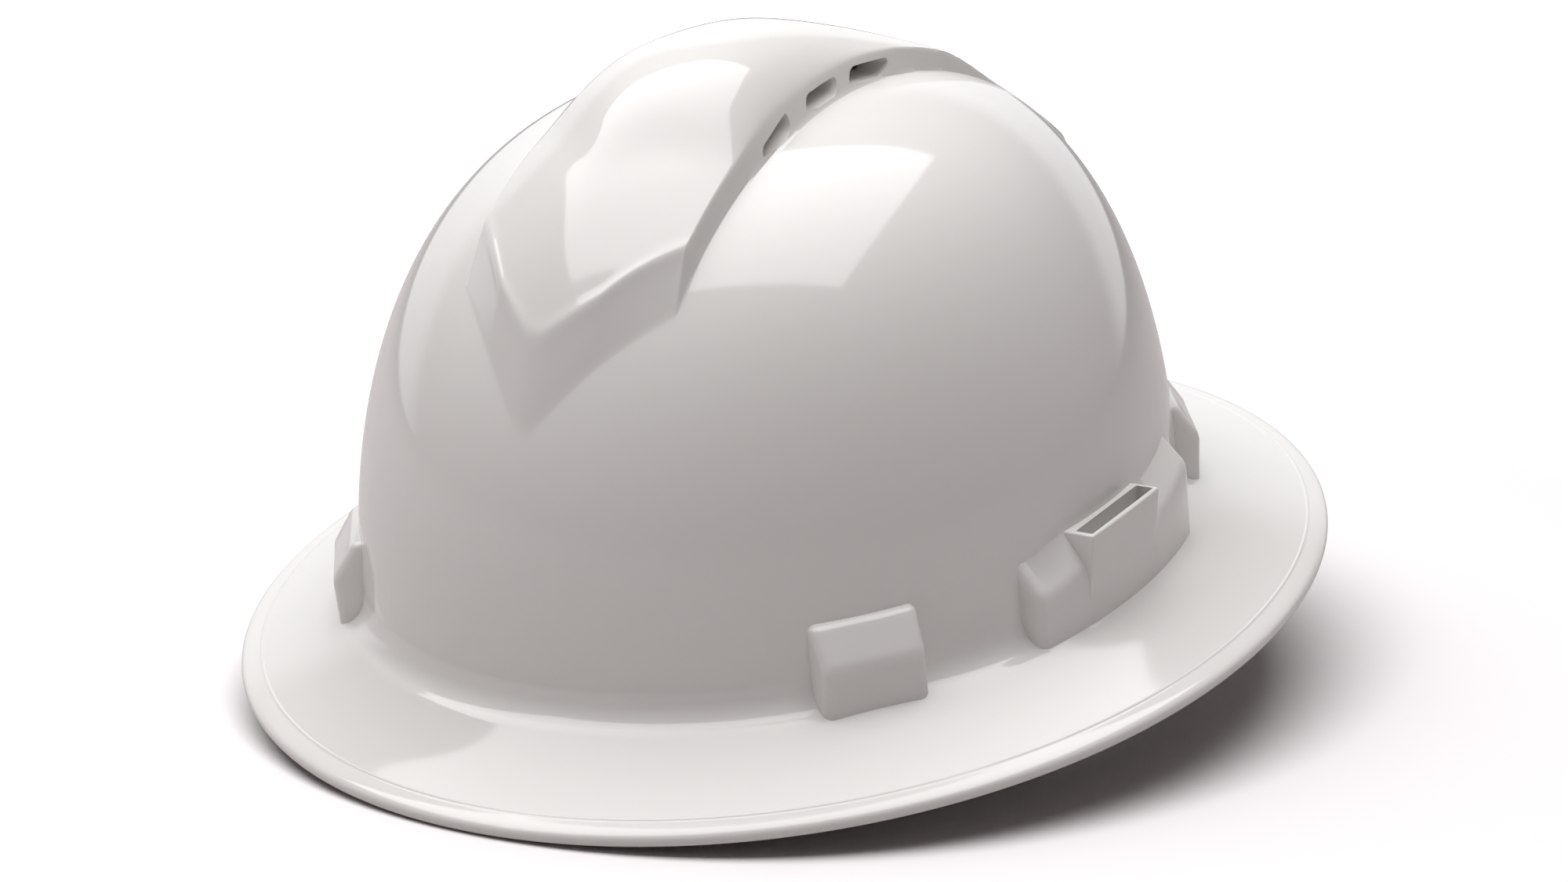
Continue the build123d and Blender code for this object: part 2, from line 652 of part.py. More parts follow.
def make_arm(side):
    """A nape arm: riveted to the headband at the front, tucked into the sleeve's mouth at the back."""
    layer = HIGH_RACK_RADIUS if side > 0 else LOW_RACK_RADIUS
    radius = layer + RACK_THICKNESS / 2
    wide = ARM_HALF_WIDTH + RACK_THICKNESS / 2
    meet = nape_point(radius, ARM_MEET_ANGLE)
    long = (meet.Y - ARM_CENTRE_Y) / math.sqrt(1 - (meet.X / wide) ** 2)
    first = math.asin((ARM_FRONT - ARM_CENTRE_Y) / long)
    last = math.acos(meet.X / wide)
    steps = 9
    turns = [first + (last - first) * step / steps for step in range(steps + 1)]
    line = [Vector(wide * math.cos(turn), ARM_CENTRE_Y + long * math.sin(turn)) for turn in turns]
    line += [nape_point(radius, degrees) for degrees in ARM_TAIL_ANGLES]
    sides = ([], [])
    for here, point in enumerate(line):
        before, after = line[max(here - 1, 0)], line[min(here + 1, len(line) - 1)]
        if here >= len(line) - len(ARM_TAIL_ANGLES):
            normal = (point - Vector(0, NAPE_CENTRE_Y)).normalized()
        else:
            normal = (after - before).normalized().cross(Vector(0, 0, 1))
        for offset, points in zip((-RACK_THICKNESS / 2, RACK_THICKNESS / 2), sides):
            place = point + normal * offset
            points.append((side * place.X, place.Y, NAPE_LEVEL - OVERRUN))
    outer = sides[1][::-1]
    outline = Wire(
        [
            Edge.make_spline(sides[0]),
            Edge.make_line(sides[0][-1], outer[0]),
            Edge.make_spline(outer),
            Edge.make_line(outer[-1], sides[0][0]),
        ]
    )
    half = ARM_HEIGHT / 2
    front_run = ((2 * ARM_FRONT, ARM_LEVEL), (ARM_BEND_FRONT, ARM_LEVEL))
    spine = (*front_run, (ARM_BEND_BACK, NAPE_LEVEL), (DOME_HALF_LENGTH, NAPE_LEVEL))
    upper = [(y, z + half) for y, z in spine]
    lower = [(y, z - half) for y, z in spine]
    frame = Plane(origin=(0, 0, 0), x_dir=(0, 1, 0), z_dir=(1, 0, 0))
    shape = bar(frame, upper + lower[::-1], 4 * HEADBAND_HALF_WIDTH)
    arm = extrude(Face(outline), 4 * OVERRUN, dir=(0, 0, 1)) & shape
    for place in RIVET_PLACES:
        hole = Pos(place, ARM_LEVEL) * Circle(RIVET_RADIUS + FIT)
        arm = arm - extrude(frame * hole, 2 * wide, both=True)
    return arm


def arm_rivet(side, place):
    """One rivet that holds an arm to the headband."""
    frame = Plane(origin=(0, place, ARM_LEVEL), x_dir=(0, side, 0), z_dir=(side, 0, 0))
    across = 1 - ((place - DOME_CENTRE_Y) / HEADBAND_HALF_LENGTH) ** 2
    inner = HEADBAND_HALF_WIDTH * math.sqrt(across) - RIVET_GAP
    outer = ARM_HALF_WIDTH + RACK_THICKNESS + RIVET_GAP
    rivet = extrude(frame.offset(inner - RIVET_HEAD) * Circle(RIVET_HEAD_RADIUS), RIVET_HEAD)
    rivet = rivet + extrude(frame.offset(inner) * Circle(RIVET_RADIUS), outer - inner)
    return rivet + extrude(frame.offset(outer) * Circle(RIVET_HEAD_RADIUS), RIVET_HEAD)


def knob_frame(radius):
    """The frame on the knob's axis at a distance from the nape sleeve's axis; Z points back."""
    return Plane(origin=(0, NAPE_CENTRE_Y + radius, NAPE_LEVEL), x_dir=(-1, 0, 0), z_dir=(0, 1, 0))


def make_rack(side):
    """One toothed strap: the left one's teeth are along the top of its slot, the right one's below."""
    inner = LOW_RACK_RADIUS if side > 0 else HIGH_RACK_RADIUS
    outer = inner + RACK_THICKNESS
    middle = (inner + outer) / 2
    turn = {name: math.degrees(length / middle) for name, length in rack_lengths().items()}
    strip = nape_wall(inner, outer, turn["start"], turn["end"], -RACK_HALF_HEIGHT, RACK_HALF_HEIGHT)
    root = PITCH_RADIUS + TOOTH_DEDENDUM
    clear = PITCH_RADIUS + RACK_SLOT_CLEARANCE
    strip = strip - nape_wall(inner - FIT, outer + FIT, turn["slot start"], turn["slot end"], -clear, root)
    first = (RACK_SLOT_START + RACK_SLOT_END) / 2 - (RACK_TEETH - 1) * TOOTH_PITCH / 2
    first = (math.floor(first / TOOTH_PITCH) + 0.5) * TOOTH_PITCH + TOOTH_PITCH
    for tooth in range(RACK_TEETH):
        degrees = math.degrees((first + tooth * TOOTH_PITCH) / middle)
        origin = nape_point(inner, degrees, NAPE_LEVEL + PITCH_RADIUS)
        out = (origin - Vector(0, NAPE_CENTRE_Y, origin.Z)).normalized()
        frame = Plane(origin=origin, x_dir=Vector(0, 0, 1).cross(out), z_dir=out)
        strip = strip + extrude(frame * rack_tooth(), RACK_THICKNESS)
    if side < 0:
        strip = Pos(0, 0, NAPE_LEVEL) * Rot(0, 180, 0) * Pos(0, 0, -NAPE_LEVEL) * strip
    return strip


def rack_lengths():
    """The ends of the strap and of its slot, along the strap, from the pinion to its own side."""
    return {"start": RACK_START, "end": RACK_END, "slot start": RACK_SLOT_START, "slot end": RACK_SLOT_END}


def rack_tooth():
    """A rack tooth pointing down, with its pitch line at zero."""
    tip, root, top = TOOTH_TIP / 2, TOOTH_ROOT / 2, TOOTH_DEDENDUM + TOOTH_SINK
    right = ((tip, -TOOTH_ADDENDUM), (root, TOOTH_DEDENDUM), (root, top))
    left = ((-root, top), (-root, TOOTH_DEDENDUM), (-tip, -TOOTH_ADDENDUM))
    return make_face(Polyline(*right, *left, close=True))


def make_base_plate():
    """The inner plate of the sleeve, with the pinion's bearing."""
    outer = PLATE_RADIUS + PLATE_THICKNESS
    half = SLEEVE_HALF_HEIGHT - SLEEVE_WALL - FIT
    plate = nape_wall(PLATE_RADIUS, outer, -SLEEVE_HALF_ANGLE, SLEEVE_HALF_ANGLE, -half, half)
    return plate - extrude(knob_frame(PLATE_RADIUS) * Circle(JOURNAL_RADIUS + FIT), OVERRUN / 2, both=True)


def make_cover():
    """The outer half of the sleeve: wall, two rails and the toothed housing under the knob."""
    outer = COVER_RADIUS + SLEEVE_WALL
    high, low = SLEEVE_HALF_HEIGHT, SLEEVE_HALF_HEIGHT - SLEEVE_WALL
    wall = nape_wall(COVER_RADIUS, outer, -SLEEVE_HALF_ANGLE, SLEEVE_HALF_ANGLE, -high, high)
    for bottom, top in ((-high, -low), (low, high)):
        wall = wall + nape_wall(PLATE_RADIUS, outer, -SLEEVE_HALF_ANGLE, SLEEVE_HALF_ANGLE, bottom, top)
    seat = knob_frame(COVER_RADIUS)
    housing = extrude(seat * Circle(HOUSING_RADIUS), SLEEVE_WALL + HOUSING_RISE)
    wall = wall + (housing & housing_bound(outer))
    wall = wall - extrude(seat.offset(SLEEVE_WALL) * detent_outline(), OVERRUN)
    return wall - extrude(seat * Circle(SHAFT_RADIUS + FIT), OVERRUN, both=True)


def housing_bound(outer):
    """Everything behind the sleeve's hollow, so that the round housing doesn't fill it."""
    block = knob_frame(0) * Circle(4 * HOUSING_RADIUS)
    inner = nape_wall(FIT, COVER_RADIUS, -SLEEVE_HALF_ANGLE, SLEEVE_HALF_ANGLE, -OVERRUN, OVERRUN)
    return extrude(block, 2 * outer) - inner


def detent_outline():
    """The toothed hollow of the housing."""
    points = []
    for tooth in range(DETENT_TEETH):
        for step, radius in ((0, DETENT_RADIUS), (0.5, DETENT_RADIUS - DETENT_TOOTH)):
            angle = 2 * math.pi * (tooth + step) / DETENT_TEETH
            points.append((radius * math.cos(angle), radius * math.sin(angle)))
    return make_face(Polyline(*points, close=True))


def make_pinion():
    """The pinion with its journal and the shaft that carries the knob."""
    start = knob_frame(PLATE_RADIUS + PLATE_THICKNESS + FIT)
    length = COVER_RADIUS - 2 * FIT - (PLATE_RADIUS + PLATE_THICKNESS + FIT)
    root = PITCH_RADIUS - TOOTH_DEDENDUM
    blank = Circle(root)
    tip_radius, foot = PITCH_RADIUS + TOOTH_ADDENDUM, root - TOOTH_SINK
    top = ((tip_radius, TOOTH_TIP / 2), (foot, TOOTH_ROOT / 2))
    bottom = ((foot, -TOOTH_ROOT / 2), (tip_radius, -TOOTH_TIP / 2))
    tooth = make_face(Polyline(*top, *bottom, close=True))
    for step in range(PINION_TEETH):
        blank = blank + Rot(0, 0, 90 + 360 * step / PINION_TEETH) * tooth
    pinion = extrude(start * blank, length)
    journal = knob_frame(PLATE_RADIUS + FIT)
    pinion = pinion + extrude(journal * Circle(JOURNAL_RADIUS), PLATE_THICKNESS + FIT)
    tail = SLEEVE_WALL + HOUSING_RISE + KNOB_THICKNESS / 2
    pinion = pinion + extrude(start.offset(length) * Circle(SHAFT_RADIUS), tail)
    bore = start.offset(length + tail - SCREW_LENGTH)
    return pinion - extrude(bore * Circle(SCREW_RADIUS), OVERRUN)


def knob_seat():
    """The knob's inner face, just clear of the housing."""
    return knob_frame(COVER_RADIUS + SLEEVE_WALL + HOUSING_RISE + FIT)


def make_pawl_disc():
    """The disc with two springy pawls that click over the housing's teeth."""
    seat = knob_frame(COVER_RADIUS + SLEEVE_WALL + FIT)
    outline = Circle(PAWL_RADIUS)
    reach = DETENT_RADIUS - FIT
    for turn in (0, 180):
        foot = PAWL_RADIUS - PAWL_ARM
        tip = make_face(Polyline((foot, -PAWL_TIP), (reach, 0), (foot, PAWL_TIP), close=True))
        outline = outline + Rot(0, 0, turn) * tip
    for turn in (0, 180):
        slit = SlotArc(CenterArc((0, 0), PAWL_RADIUS - 1.5 * PAWL_ARM, turn - 40, 80), PAWL_ARM / 2)
        outline = outline - slit
    return extrude(seat * (outline - Circle(SHAFT_RADIUS + FIT / 3)), PAWL_THICKNESS)


def make_knob():
    """The fluted knob, with the hub that turns the pawl disc."""
    seat = knob_seat()
    outline = Circle(KNOB_RADIUS)
    for step in range(KNOB_FLUTES):
        flute = Pos(KNOB_RADIUS, 0) * Circle(FLUTE_RADIUS)
        outline = outline - Rot(0, 0, 360 * step / KNOB_FLUTES) * flute
    knob = extrude(seat * outline, KNOB_THICKNESS)
    knob = knob & Solid(revolve(seat * knob_profile(), Axis(seat.origin, seat.z_dir)).wrapped)
    drop = HOUSING_RISE - PAWL_THICKNESS
    knob = knob + extrude(seat * Circle(HUB_RADIUS), -drop + FIT / 3)
    knob = knob - extrude(seat * Circle(SHAFT_RADIUS + FIT / 3), KNOB_THICKNESS / 2, both=True)
    knob = knob - extrude(seat * Circle(SCREW_RADIUS + FIT), OVERRUN)
    head = seat.offset(KNOB_THICKNESS - KNOB_DISH - SCREW_HEAD)
    return knob - extrude(head * Circle(SCREW_HEAD_RADIUS + FIT), OVERRUN)


def knob_profile():
    """Half the knob's section, with its rounded rim and dished face, on a plane through its axis."""
    rim = KNOB_RADIUS - KNOB_EDGE
    points = (
        (0, 0),
        (KNOB_RADIUS, 0),
        (KNOB_RADIUS, KNOB_THICKNESS - KNOB_EDGE),
        (rim, KNOB_THICKNESS),
        (KNOB_DISH_RADIUS, KNOB_THICKNESS),
        (KNOB_DISH_RADIUS - KNOB_DISH, KNOB_THICKNESS - KNOB_DISH),
        (0, KNOB_THICKNESS - KNOB_DISH),
    )
    return Rot(90, 0, 0) * make_face(Polyline(*points, close=True))


def make_screw():
    """The cross slotted screw that holds the knob on its shaft."""
    seat = knob_seat().offset(KNOB_THICKNESS - KNOB_DISH - SCREW_HEAD)
    screw = extrude(seat * Circle(SCREW_HEAD_RADIUS), SCREW_HEAD)
    screw = screw + extrude(seat * Circle(SCREW_RADIUS), -SCREW_LENGTH / 2)
    arm = 1.4 * SCREW_HEAD_RADIUS
    cross = Rectangle(arm, SCREW_CROSS) + Rectangle(SCREW_CROSS, arm)
    return screw - extrude(seat.offset(SCREW_HEAD / 2) * cross, SCREW_HEAD)


def make_nape_pad():
    """The soft pad between the sleeve and the nape."""
    outer = PLATE_RADIUS - FIT
    inner = outer - PAD_THICKNESS
    high = PAD_HALF_HEIGHT
    pad = nape_wall(inner, outer, -PAD_HALF_ANGLE, PAD_HALF_ANGLE, -high, high)
    upright = [edge for edge in pad.edges() if abs(edge.tangent_at(0.5).Z) > 0.9]
    return fillet(upright, PAD_THICKNESS / 3)


def arm_rivets():
    """The rivets that hold both nape arms to the headband."""
    rivets = [arm_rivet(side, y) for side in (-1, 1) for y in RIVET_PLACES]
    return Compound([Solid(rivet.wrapped) for rivet in rivets])


def stand(piece):
    """Tip a piece with the whole hat until the front brim and the sleeve's corners are level."""
    corner = nape_point(PLATE_RADIUS, SLEEVE_HALF_ANGLE, NAPE_LEVEL - SLEEVE_HALF_HEIGHT)
    front = BRIM_HALF_LENGTH - EDGE_ROUND
    tip = math.degrees(math.atan2(-corner.Z, corner.Y + front))
    drop = front * math.sin(math.radians(tip))
    return Pos(0, 0, drop) * Rot(tip, 0, 0) * piece


if __name__ == "__main__":
    os.makedirs("parts", exist_ok=True)
    pieces = {
        "shell": make_shell(),
        "headband": make_headband(),
        "brow_pad": make_brow_pad(),
        "crown_strap_a": make_strap(1, STRAP_APEX),
        "crown_strap_b": make_strap(-1, STRAP_APEX + STRAP_APEX_STEP),
        "nape_arm_left": make_arm(1),
        "nape_arm_right": make_arm(-1),
        "arm_rivets": arm_rivets(),
        "rack_left": make_rack(1),
        "rack_right": make_rack(-1),
        "ratchet_base": make_base_plate(),
        "ratchet_cover": make_cover(),
        "pinion": make_pinion(),
        "pawl_disc": make_pawl_disc(),
        "knob": make_knob(),
        "knob_screw": make_screw(),
        "nape_pad": make_nape_pad(),
    }
    for front, end in ((True, "front"), (False, "rear")):
        for side, name in ((1, "left"), (-1, "right")):
            pieces[f"key_{end}_{name}"] = make_key(front, side)
    for name, piece in pieces.items():
        export_step(stand(piece), f"parts/{name}.step")
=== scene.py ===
import math

import bmesh
import bpy
import numpy as np
from mathutils import Matrix, Vector, noise


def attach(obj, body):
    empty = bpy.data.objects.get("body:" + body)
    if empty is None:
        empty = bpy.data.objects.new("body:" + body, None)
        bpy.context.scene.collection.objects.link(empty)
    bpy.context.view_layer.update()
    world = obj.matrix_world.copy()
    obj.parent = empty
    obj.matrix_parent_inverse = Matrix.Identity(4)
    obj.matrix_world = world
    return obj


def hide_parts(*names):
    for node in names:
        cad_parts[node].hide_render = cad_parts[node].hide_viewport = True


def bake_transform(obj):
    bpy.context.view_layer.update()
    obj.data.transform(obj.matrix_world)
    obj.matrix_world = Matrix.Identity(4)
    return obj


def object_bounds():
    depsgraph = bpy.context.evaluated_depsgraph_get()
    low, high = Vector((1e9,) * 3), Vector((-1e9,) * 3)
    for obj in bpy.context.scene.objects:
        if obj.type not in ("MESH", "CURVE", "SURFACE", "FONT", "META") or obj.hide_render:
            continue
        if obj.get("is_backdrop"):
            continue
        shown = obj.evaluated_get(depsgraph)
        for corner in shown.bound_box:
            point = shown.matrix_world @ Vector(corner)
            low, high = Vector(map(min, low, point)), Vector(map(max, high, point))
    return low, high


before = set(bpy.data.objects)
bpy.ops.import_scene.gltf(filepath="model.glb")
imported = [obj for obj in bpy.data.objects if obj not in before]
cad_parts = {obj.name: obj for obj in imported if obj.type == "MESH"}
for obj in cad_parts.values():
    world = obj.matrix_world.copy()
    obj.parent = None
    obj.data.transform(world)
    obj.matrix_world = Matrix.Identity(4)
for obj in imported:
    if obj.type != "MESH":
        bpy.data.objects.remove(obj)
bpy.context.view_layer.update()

MM = 0.001
TAU = 2 * math.pi
UP = Vector((0, 0, 1))

# The shell's own measures, in millimetres, in the worn position
WALL = 2.4
DOME = dict(cy=-10.3, a=115.3, b=97.4, egg=0.025, base=19.1, rise=115.9, lean=3.2, p=2.106, q=3.009)
CREST = dict(cy=-4.8, a=118.6, b=105.4, egg=0.0, base=19.1, rise=122.1, lean=-6.6, p=1.894, q=3.009)
DOME_RADIUS, DOME_HEIGHT = 106, 116
FOOT_ARC = 5.6
BRIM_A, BRIM_B, BRIM_EGG, BRIM_LIFT = 155.0, 131.0, 0.059, 3.3

# The ridge's plan: two pointed ends and the line of its side between their corners
FRONT_TIP, FRONT_CORNER, FRONT_BOW = -112.0, (29.7, -87.5), 1.22
BACK_TIP, BACK_CORNER, BACK_BOW = 99.0, (46.0, 66.0), 1.1
SIDE = np.array([
    FRONT_CORNER, (29.3, -62.0), (27.2, -32.0), (25.3, -3.0), (27.4, 19.5), (33.5, 40.0), BACK_CORNER,
])
# An end draws back by this much for each millimetre of inset
END_INSET = 1.3
# How steep the walls and, from the middle outwards, the front face are; how far the walls' foot spreads
WALL_STEEP = 4.5
FACE_X, FACE_STEEP = (0, 14, 28), (0.86, 1.06, 0.64)
FOOT_Y, FOOT_OUT = [-85.0, -55.0, -35.0, 10.0, 34.0], [0.0, 0.25, 0.75, 0.75, 0.0]
# What the top face loses along its side edges, along its rear middle, and at its rear edges
EDGE_Y, EDGE_DROP = [-112.0, -87.0, -30.0, -10.0, 5.0, 20.0], [0.0, 2.2, 2.2, 1.6, 0.7, 0.0]
REAR_Y, REAR_DROP = [4.0, 25.0, 45.0, 66.0, 99.0], [0.0, 1.2, 4.3, 4.9, 4.0]
HEEL_Y, HEEL_DROP = [34.0, 50.0, 60.0, 68.0, 99.0], [0.0, 4.3, 4.6, 4.0, 3.6]
# The spine's height along the top face
SPINE_Y = [-104.0, -98.0, -90.0, -80.0, -73.0, -66.0, -60.0, -50.0, -38.0, -22.0, -4.0, 16.0, 36.0, 56.0]
SPINE_Z = [0.0, 0.2, 1.0, 2.6, 4.0, 6.5, 8.7, 11.0, 12.1, 11.2, 8.6, 4.3, 1.2, 0.0]
# How the spine bends back with the V of the front face, and the powers by which it falls to its sides
SPINE_SOFT, SPINE_BEND, SPINE_FALL, SPINE_ROUND = 30.0, 0.85, 2.4, 0.75
# Roundings where faces meet, and the raised lip along the front face's upper edge
WALL_ROUND, FACE_ROUND, LIP_HEIGHT, LIP_WIDTH = 0.8, 0.6, 0.45, 1.3

# How the whole hat stands: tipped onto its front brim and its nape sleeve
BRIM_TOUCH = 154.1
SLEEVE_CORNER = (19 + 73 * math.cos(math.radians(36)), -33.2)
TIP = math.atan2(-SLEEVE_CORNER[1], SLEEVE_CORNER[0] + BRIM_TOUCH)
DROP = BRIM_TOUCH * math.sin(TIP)
STAND = Matrix.Translation((0, 0, DROP * MM)) @ Matrix.Rotation(TIP, 4, "X") @ Matrix.Scale(MM, 4)


# ---------- curves and heights ----------

def smooth_spline(xs, ys, x):
    """A natural cubic spline through the points."""
    xs, ys = np.asarray(xs, float), np.asarray(ys, float)
    n = len(xs)
    h = np.diff(xs)
    a = np.zeros((n, n))
    r = np.zeros(n)
    a[0, 0] = a[-1, -1] = 1
    for i in range(1, n - 1):
        a[i, i - 1 : i + 2] = h[i - 1], 2 * (h[i - 1] + h[i]), h[i]
        r[i] = 6 * ((ys[i + 1] - ys[i]) / h[i] - (ys[i] - ys[i - 1]) / h[i - 1])
    m = np.linalg.solve(a, r)
    x = np.asarray(x, float)
    xc = np.clip(x, xs[0], xs[-1])
    i = np.clip(np.searchsorted(xs, xc) - 1, 0, n - 2)
    t0, t1, hh = xc - xs[i], xs[i + 1] - xc, h[i]
    bend = (m[i] * t1**3 + m[i + 1] * t0**3) / (6 * hh)
    return bend + (ys[i] / hh - m[i] * hh / 6) * t1 + (ys[i + 1] / hh - m[i + 1] * hh / 6) * t0


def smooth_table(xs, ys, x):
    """A curve through the table's values that starts and ends level."""
    i = np.clip(np.searchsorted(xs, x) - 1, 0, len(xs) - 2)
    xs, ys = np.asarray(xs), np.asarray(ys)
    h = xs[i + 1] - xs[i]
    t = np.clip((x - xs[i]) / h, 0, 1)
    slope = np.gradient(ys, xs)
    slope[0] = slope[-1] = 0
    t2, t3 = t * t, t * t * t
    start = (2 * t3 - 3 * t2 + 1) * ys[i] + (t3 - 2 * t2 + t) * h * slope[i]
    return start + (3 * t2 - 2 * t3) * ys[i + 1] + (t3 - t2) * h * slope[i + 1]


def ease(t):
    """A share from 0 to 1 that starts and ends gently."""
    return t * t * (3 - 2 * t)


def smin(a, b, k):
    """The lower of two heights, rounded over where they meet."""
    h = np.clip(0.5 + 0.5 * (b - a) / k, 0, 1)
    return b * (1 - h) + a * h - k * h * (1 - h)


def smax(a, b, k):
    """The higher of two heights, filled where they meet."""
    return -smin(-a, -b, k)


def dome_height(form, x, y, inset=0.0):
    """Height of a dome over plan points, found by halving; vectorised."""
    x, y = np.broadcast_arrays(np.asarray(x, float), np.asarray(y, float))
    lo = np.full(x.shape, -0.35)
    hi = np.ones(x.shape)
    for _ in range(44):
        s = (lo + hi) / 2
        grow = np.where(s >= 0, (1 - np.abs(s) ** form["p"]), 1 + np.abs(s) ** form["p"])
        shrink = np.abs(grow) ** (1 / form["q"])
        cy = form["cy"] + form["lean"] * s
        v = (y - cy) / ((form["a"] - inset) * shrink + 1e-9)
        u = x / ((form["b"] - inset) * shrink * (1 + form["egg"] * shrink * np.clip(-v, -1, 1)) + 1e-9)
        inside = u * u + v * v < 1
        lo = np.where(inside, s, lo)
        hi = np.where(inside, hi, s)
    return form["base"] + (form["rise"] - inset) * lo


def dome_point(form, phi, s, inset=0.0):
    """The dome's point at an angle from the front and a share of its height."""
    shrink = (1 - np.abs(s) ** form["p"]) ** (1 / form["q"])
    x = (form["b"] - inset) * shrink * np.sin(phi) * (1 + form["egg"] * shrink * np.cos(phi))
    y = form["cy"] + form["lean"] * s - (form["a"] - inset) * shrink * np.cos(phi)
    z = form["base"] + (form["rise"] - inset) * s + 0 * x
    return x, y, z


def half_width(y):
    """The ridge's half width at a place between its corners."""
    return smooth_spline(SIDE[:, 1], SIDE[:, 0], np.clip(y, FRONT_CORNER[1], BACK_CORNER[1]))


def chevron(x, tip, corner, power, soft=1.2):
    """The plan line of one pointed end: from its tip to its corner, bowed outwards."""
    u = (np.sqrt(x * x + soft * soft) - soft) / corner[0]
    return tip + (corner[1] - tip) * np.abs(u) ** power


def end_faces(x, y, inset):
    """Heights of the two sloping end faces over the dome's height at a plan point."""
    front = (y - inset * END_INSET) - chevron(x, FRONT_TIP, FRONT_CORNER, FRONT_BOW)
    back = chevron(x, BACK_TIP, BACK_CORNER, BACK_BOW) - (y + inset * END_INSET)
    return front * np.interp(np.abs(x), FACE_X, FACE_STEEP), back


def spine_rise(x, y, w, inset):
    """The spine's height over the ridge's top face; in front it bends back with the V of the face."""
    soft = np.sqrt(x * x + SPINE_SOFT) - math.sqrt(SPINE_SOFT)
    along = y - SPINE_BEND * soft * np.clip((-25 - y) / 40, 0, 1)
    top = np.where((along > SPINE_Y[0]) & (along < SPINE_Y[-1]), smooth_spline(SPINE_Y, SPINE_Z, along), 0)
    u = np.clip(np.abs(x) / np.maximum(w - 0.4 - inset * 0.4, 1), 0, 1)
    return np.maximum(top, 0) * (1 - u**SPINE_FALL) ** SPINE_ROUND


def crest_height(x, y, w, inset):
    """Height of the ridge's top face."""
    crest = dome_height(CREST, x, y, inset) + spine_rise(x, y, w, inset)
    u = np.clip(np.abs(x) / w, 0, 1.2)
    u2 = np.clip(u * u, 0, 1)
    sides = u**3 * np.interp(y, EDGE_Y, EDGE_DROP)
    return crest - sides - smooth_table(REAR_Y, REAR_DROP, y) * (1 - u2) - smooth_table(HEEL_Y, HEEL_DROP, y) * u2


def outer_height(x, y, inset=0.0):
    """Height of the shell over plan points inside and just round the ridge."""
    base = dome_height(DOME, x, y, inset)
    w = half_width(y) - inset
    crest = crest_height(x, y, w, inset)
    d = np.abs(x) - w
    foot = np.interp(y, FOOT_Y, FOOT_OUT)
    body = smin(crest, base + np.clip(foot - d, -3, 40) * WALL_STEEP / (1 + 0.62 * foot), WALL_ROUND)
    front, back = end_faces(x, y, inset)
    face = base + np.clip(front, -6, 60)
    lip = LIP_HEIGHT * np.exp(-(((face - crest - FACE_ROUND) / LIP_WIDTH) ** 2)) * (d < 0)
    body = smin(body, face, FACE_ROUND) + lip
    body = smin(body, base + np.clip(back, -6, 60), WALL_ROUND)
    return smax(base, body, FACE_ROUND)


# ---------- the shell's skin ----------

# Columns as distances from the ridge's side edge, and how many lie between it and the middle
EDGE_COLUMNS = np.array([
    -7, -4.5, -3.0, -2.2, -1.7, -1.4, -1.2, -1.0, -0.8, -0.6, -0.4, -0.2, 0.0, 0.25, 0.6, 1.1, 1.8, 3.0,
])
MIDDLE_COLUMNS = 34
# Rows near the ridge's ends, as distances from the tips, and how many lie between them
MARGIN_ROWS = np.array([3.0, 1.8, 1.1, 0.6, 0.25])
FRONT_ROWS = np.array([
    0, 0.5, 1.0, 1.6, 2.2, 2.9, 3.6, 4.3, 5.0, 5.6, 6.1, 6.5, 6.9, 7.2, 7.5, 7.8, 8.1, 8.4, 8.7, 9.0, 9.3,
    9.6, 10.0, 10.5, 11.2, 12.2, 13.5,
])
BACK_ROWS = np.array([
    0, 0.35, 0.7, 1.1, 1.5, 1.9, 2.4, 2.9, 3.4, 3.8, 4.2, 4.6, 5.0, 5.4, 5.8, 6.3, 7.0, 8.0,
])
MIDDLE_ROWS = 170
OUTER_RINGS, INNER_RINGS = 110, 60

# The brim's section: the fillet at its root, where its slope ends and how far it sags, the rolled edge as
# (inset, height), where the underside ends, and the way up inside as (reach, height)
ROOT_RADIUS, ROOT_TOP, ROOT_DROP, ROOT_TURN = 6.8, 25.0, 8.0, 0.86
SLOPE_INSET, SLOPE_HEIGHT, SLOPE_SAG = 5.9, 4.55, 0.65
EDGE_PROFILE = (
    (5.65, 4.62), (5.45, 4.66), (5.25, 4.62), (5.05, 4.42), (4.8, 4.28), (4.4, 4.18), (3.4, 3.94), (2.2, 3.6),
    (1.3, 3.26), (0.75, 2.95), (0.35, 2.55), (0.1, 2.1), (0.0, 1.6), (0.02, 1.1), (0.14, 0.65), (0.4, 0.28),
    (0.8, 0.06), (1.3, 0.0), (2.4, 0.0), (3.0, 0.15), (3.8, 1.0), (4.1, 1.2),
)
UNDER_REACH, UNDER_HEIGHT = 5.0, 13.0
INNER_PROFILE = ((3.0, 13.9), (1.2, 14.7), (-0.6, 15.4), (-1.6, 15.9), (-2.1, 16.6), (-2.38, 17.6))

# Arc length up the dome's side against the share of its height
SHARES = np.linspace(0, 0.9999, 4000)
_shrink = (1 - SHARES ** DOME["p"]) ** (1 / DOME["q"])
_steps = np.hypot(np.diff(_shrink) * DOME_RADIUS, np.diff(SHARES) * DOME_HEIGHT)
ARCS = np.concatenate([[0], np.cumsum(_steps)])


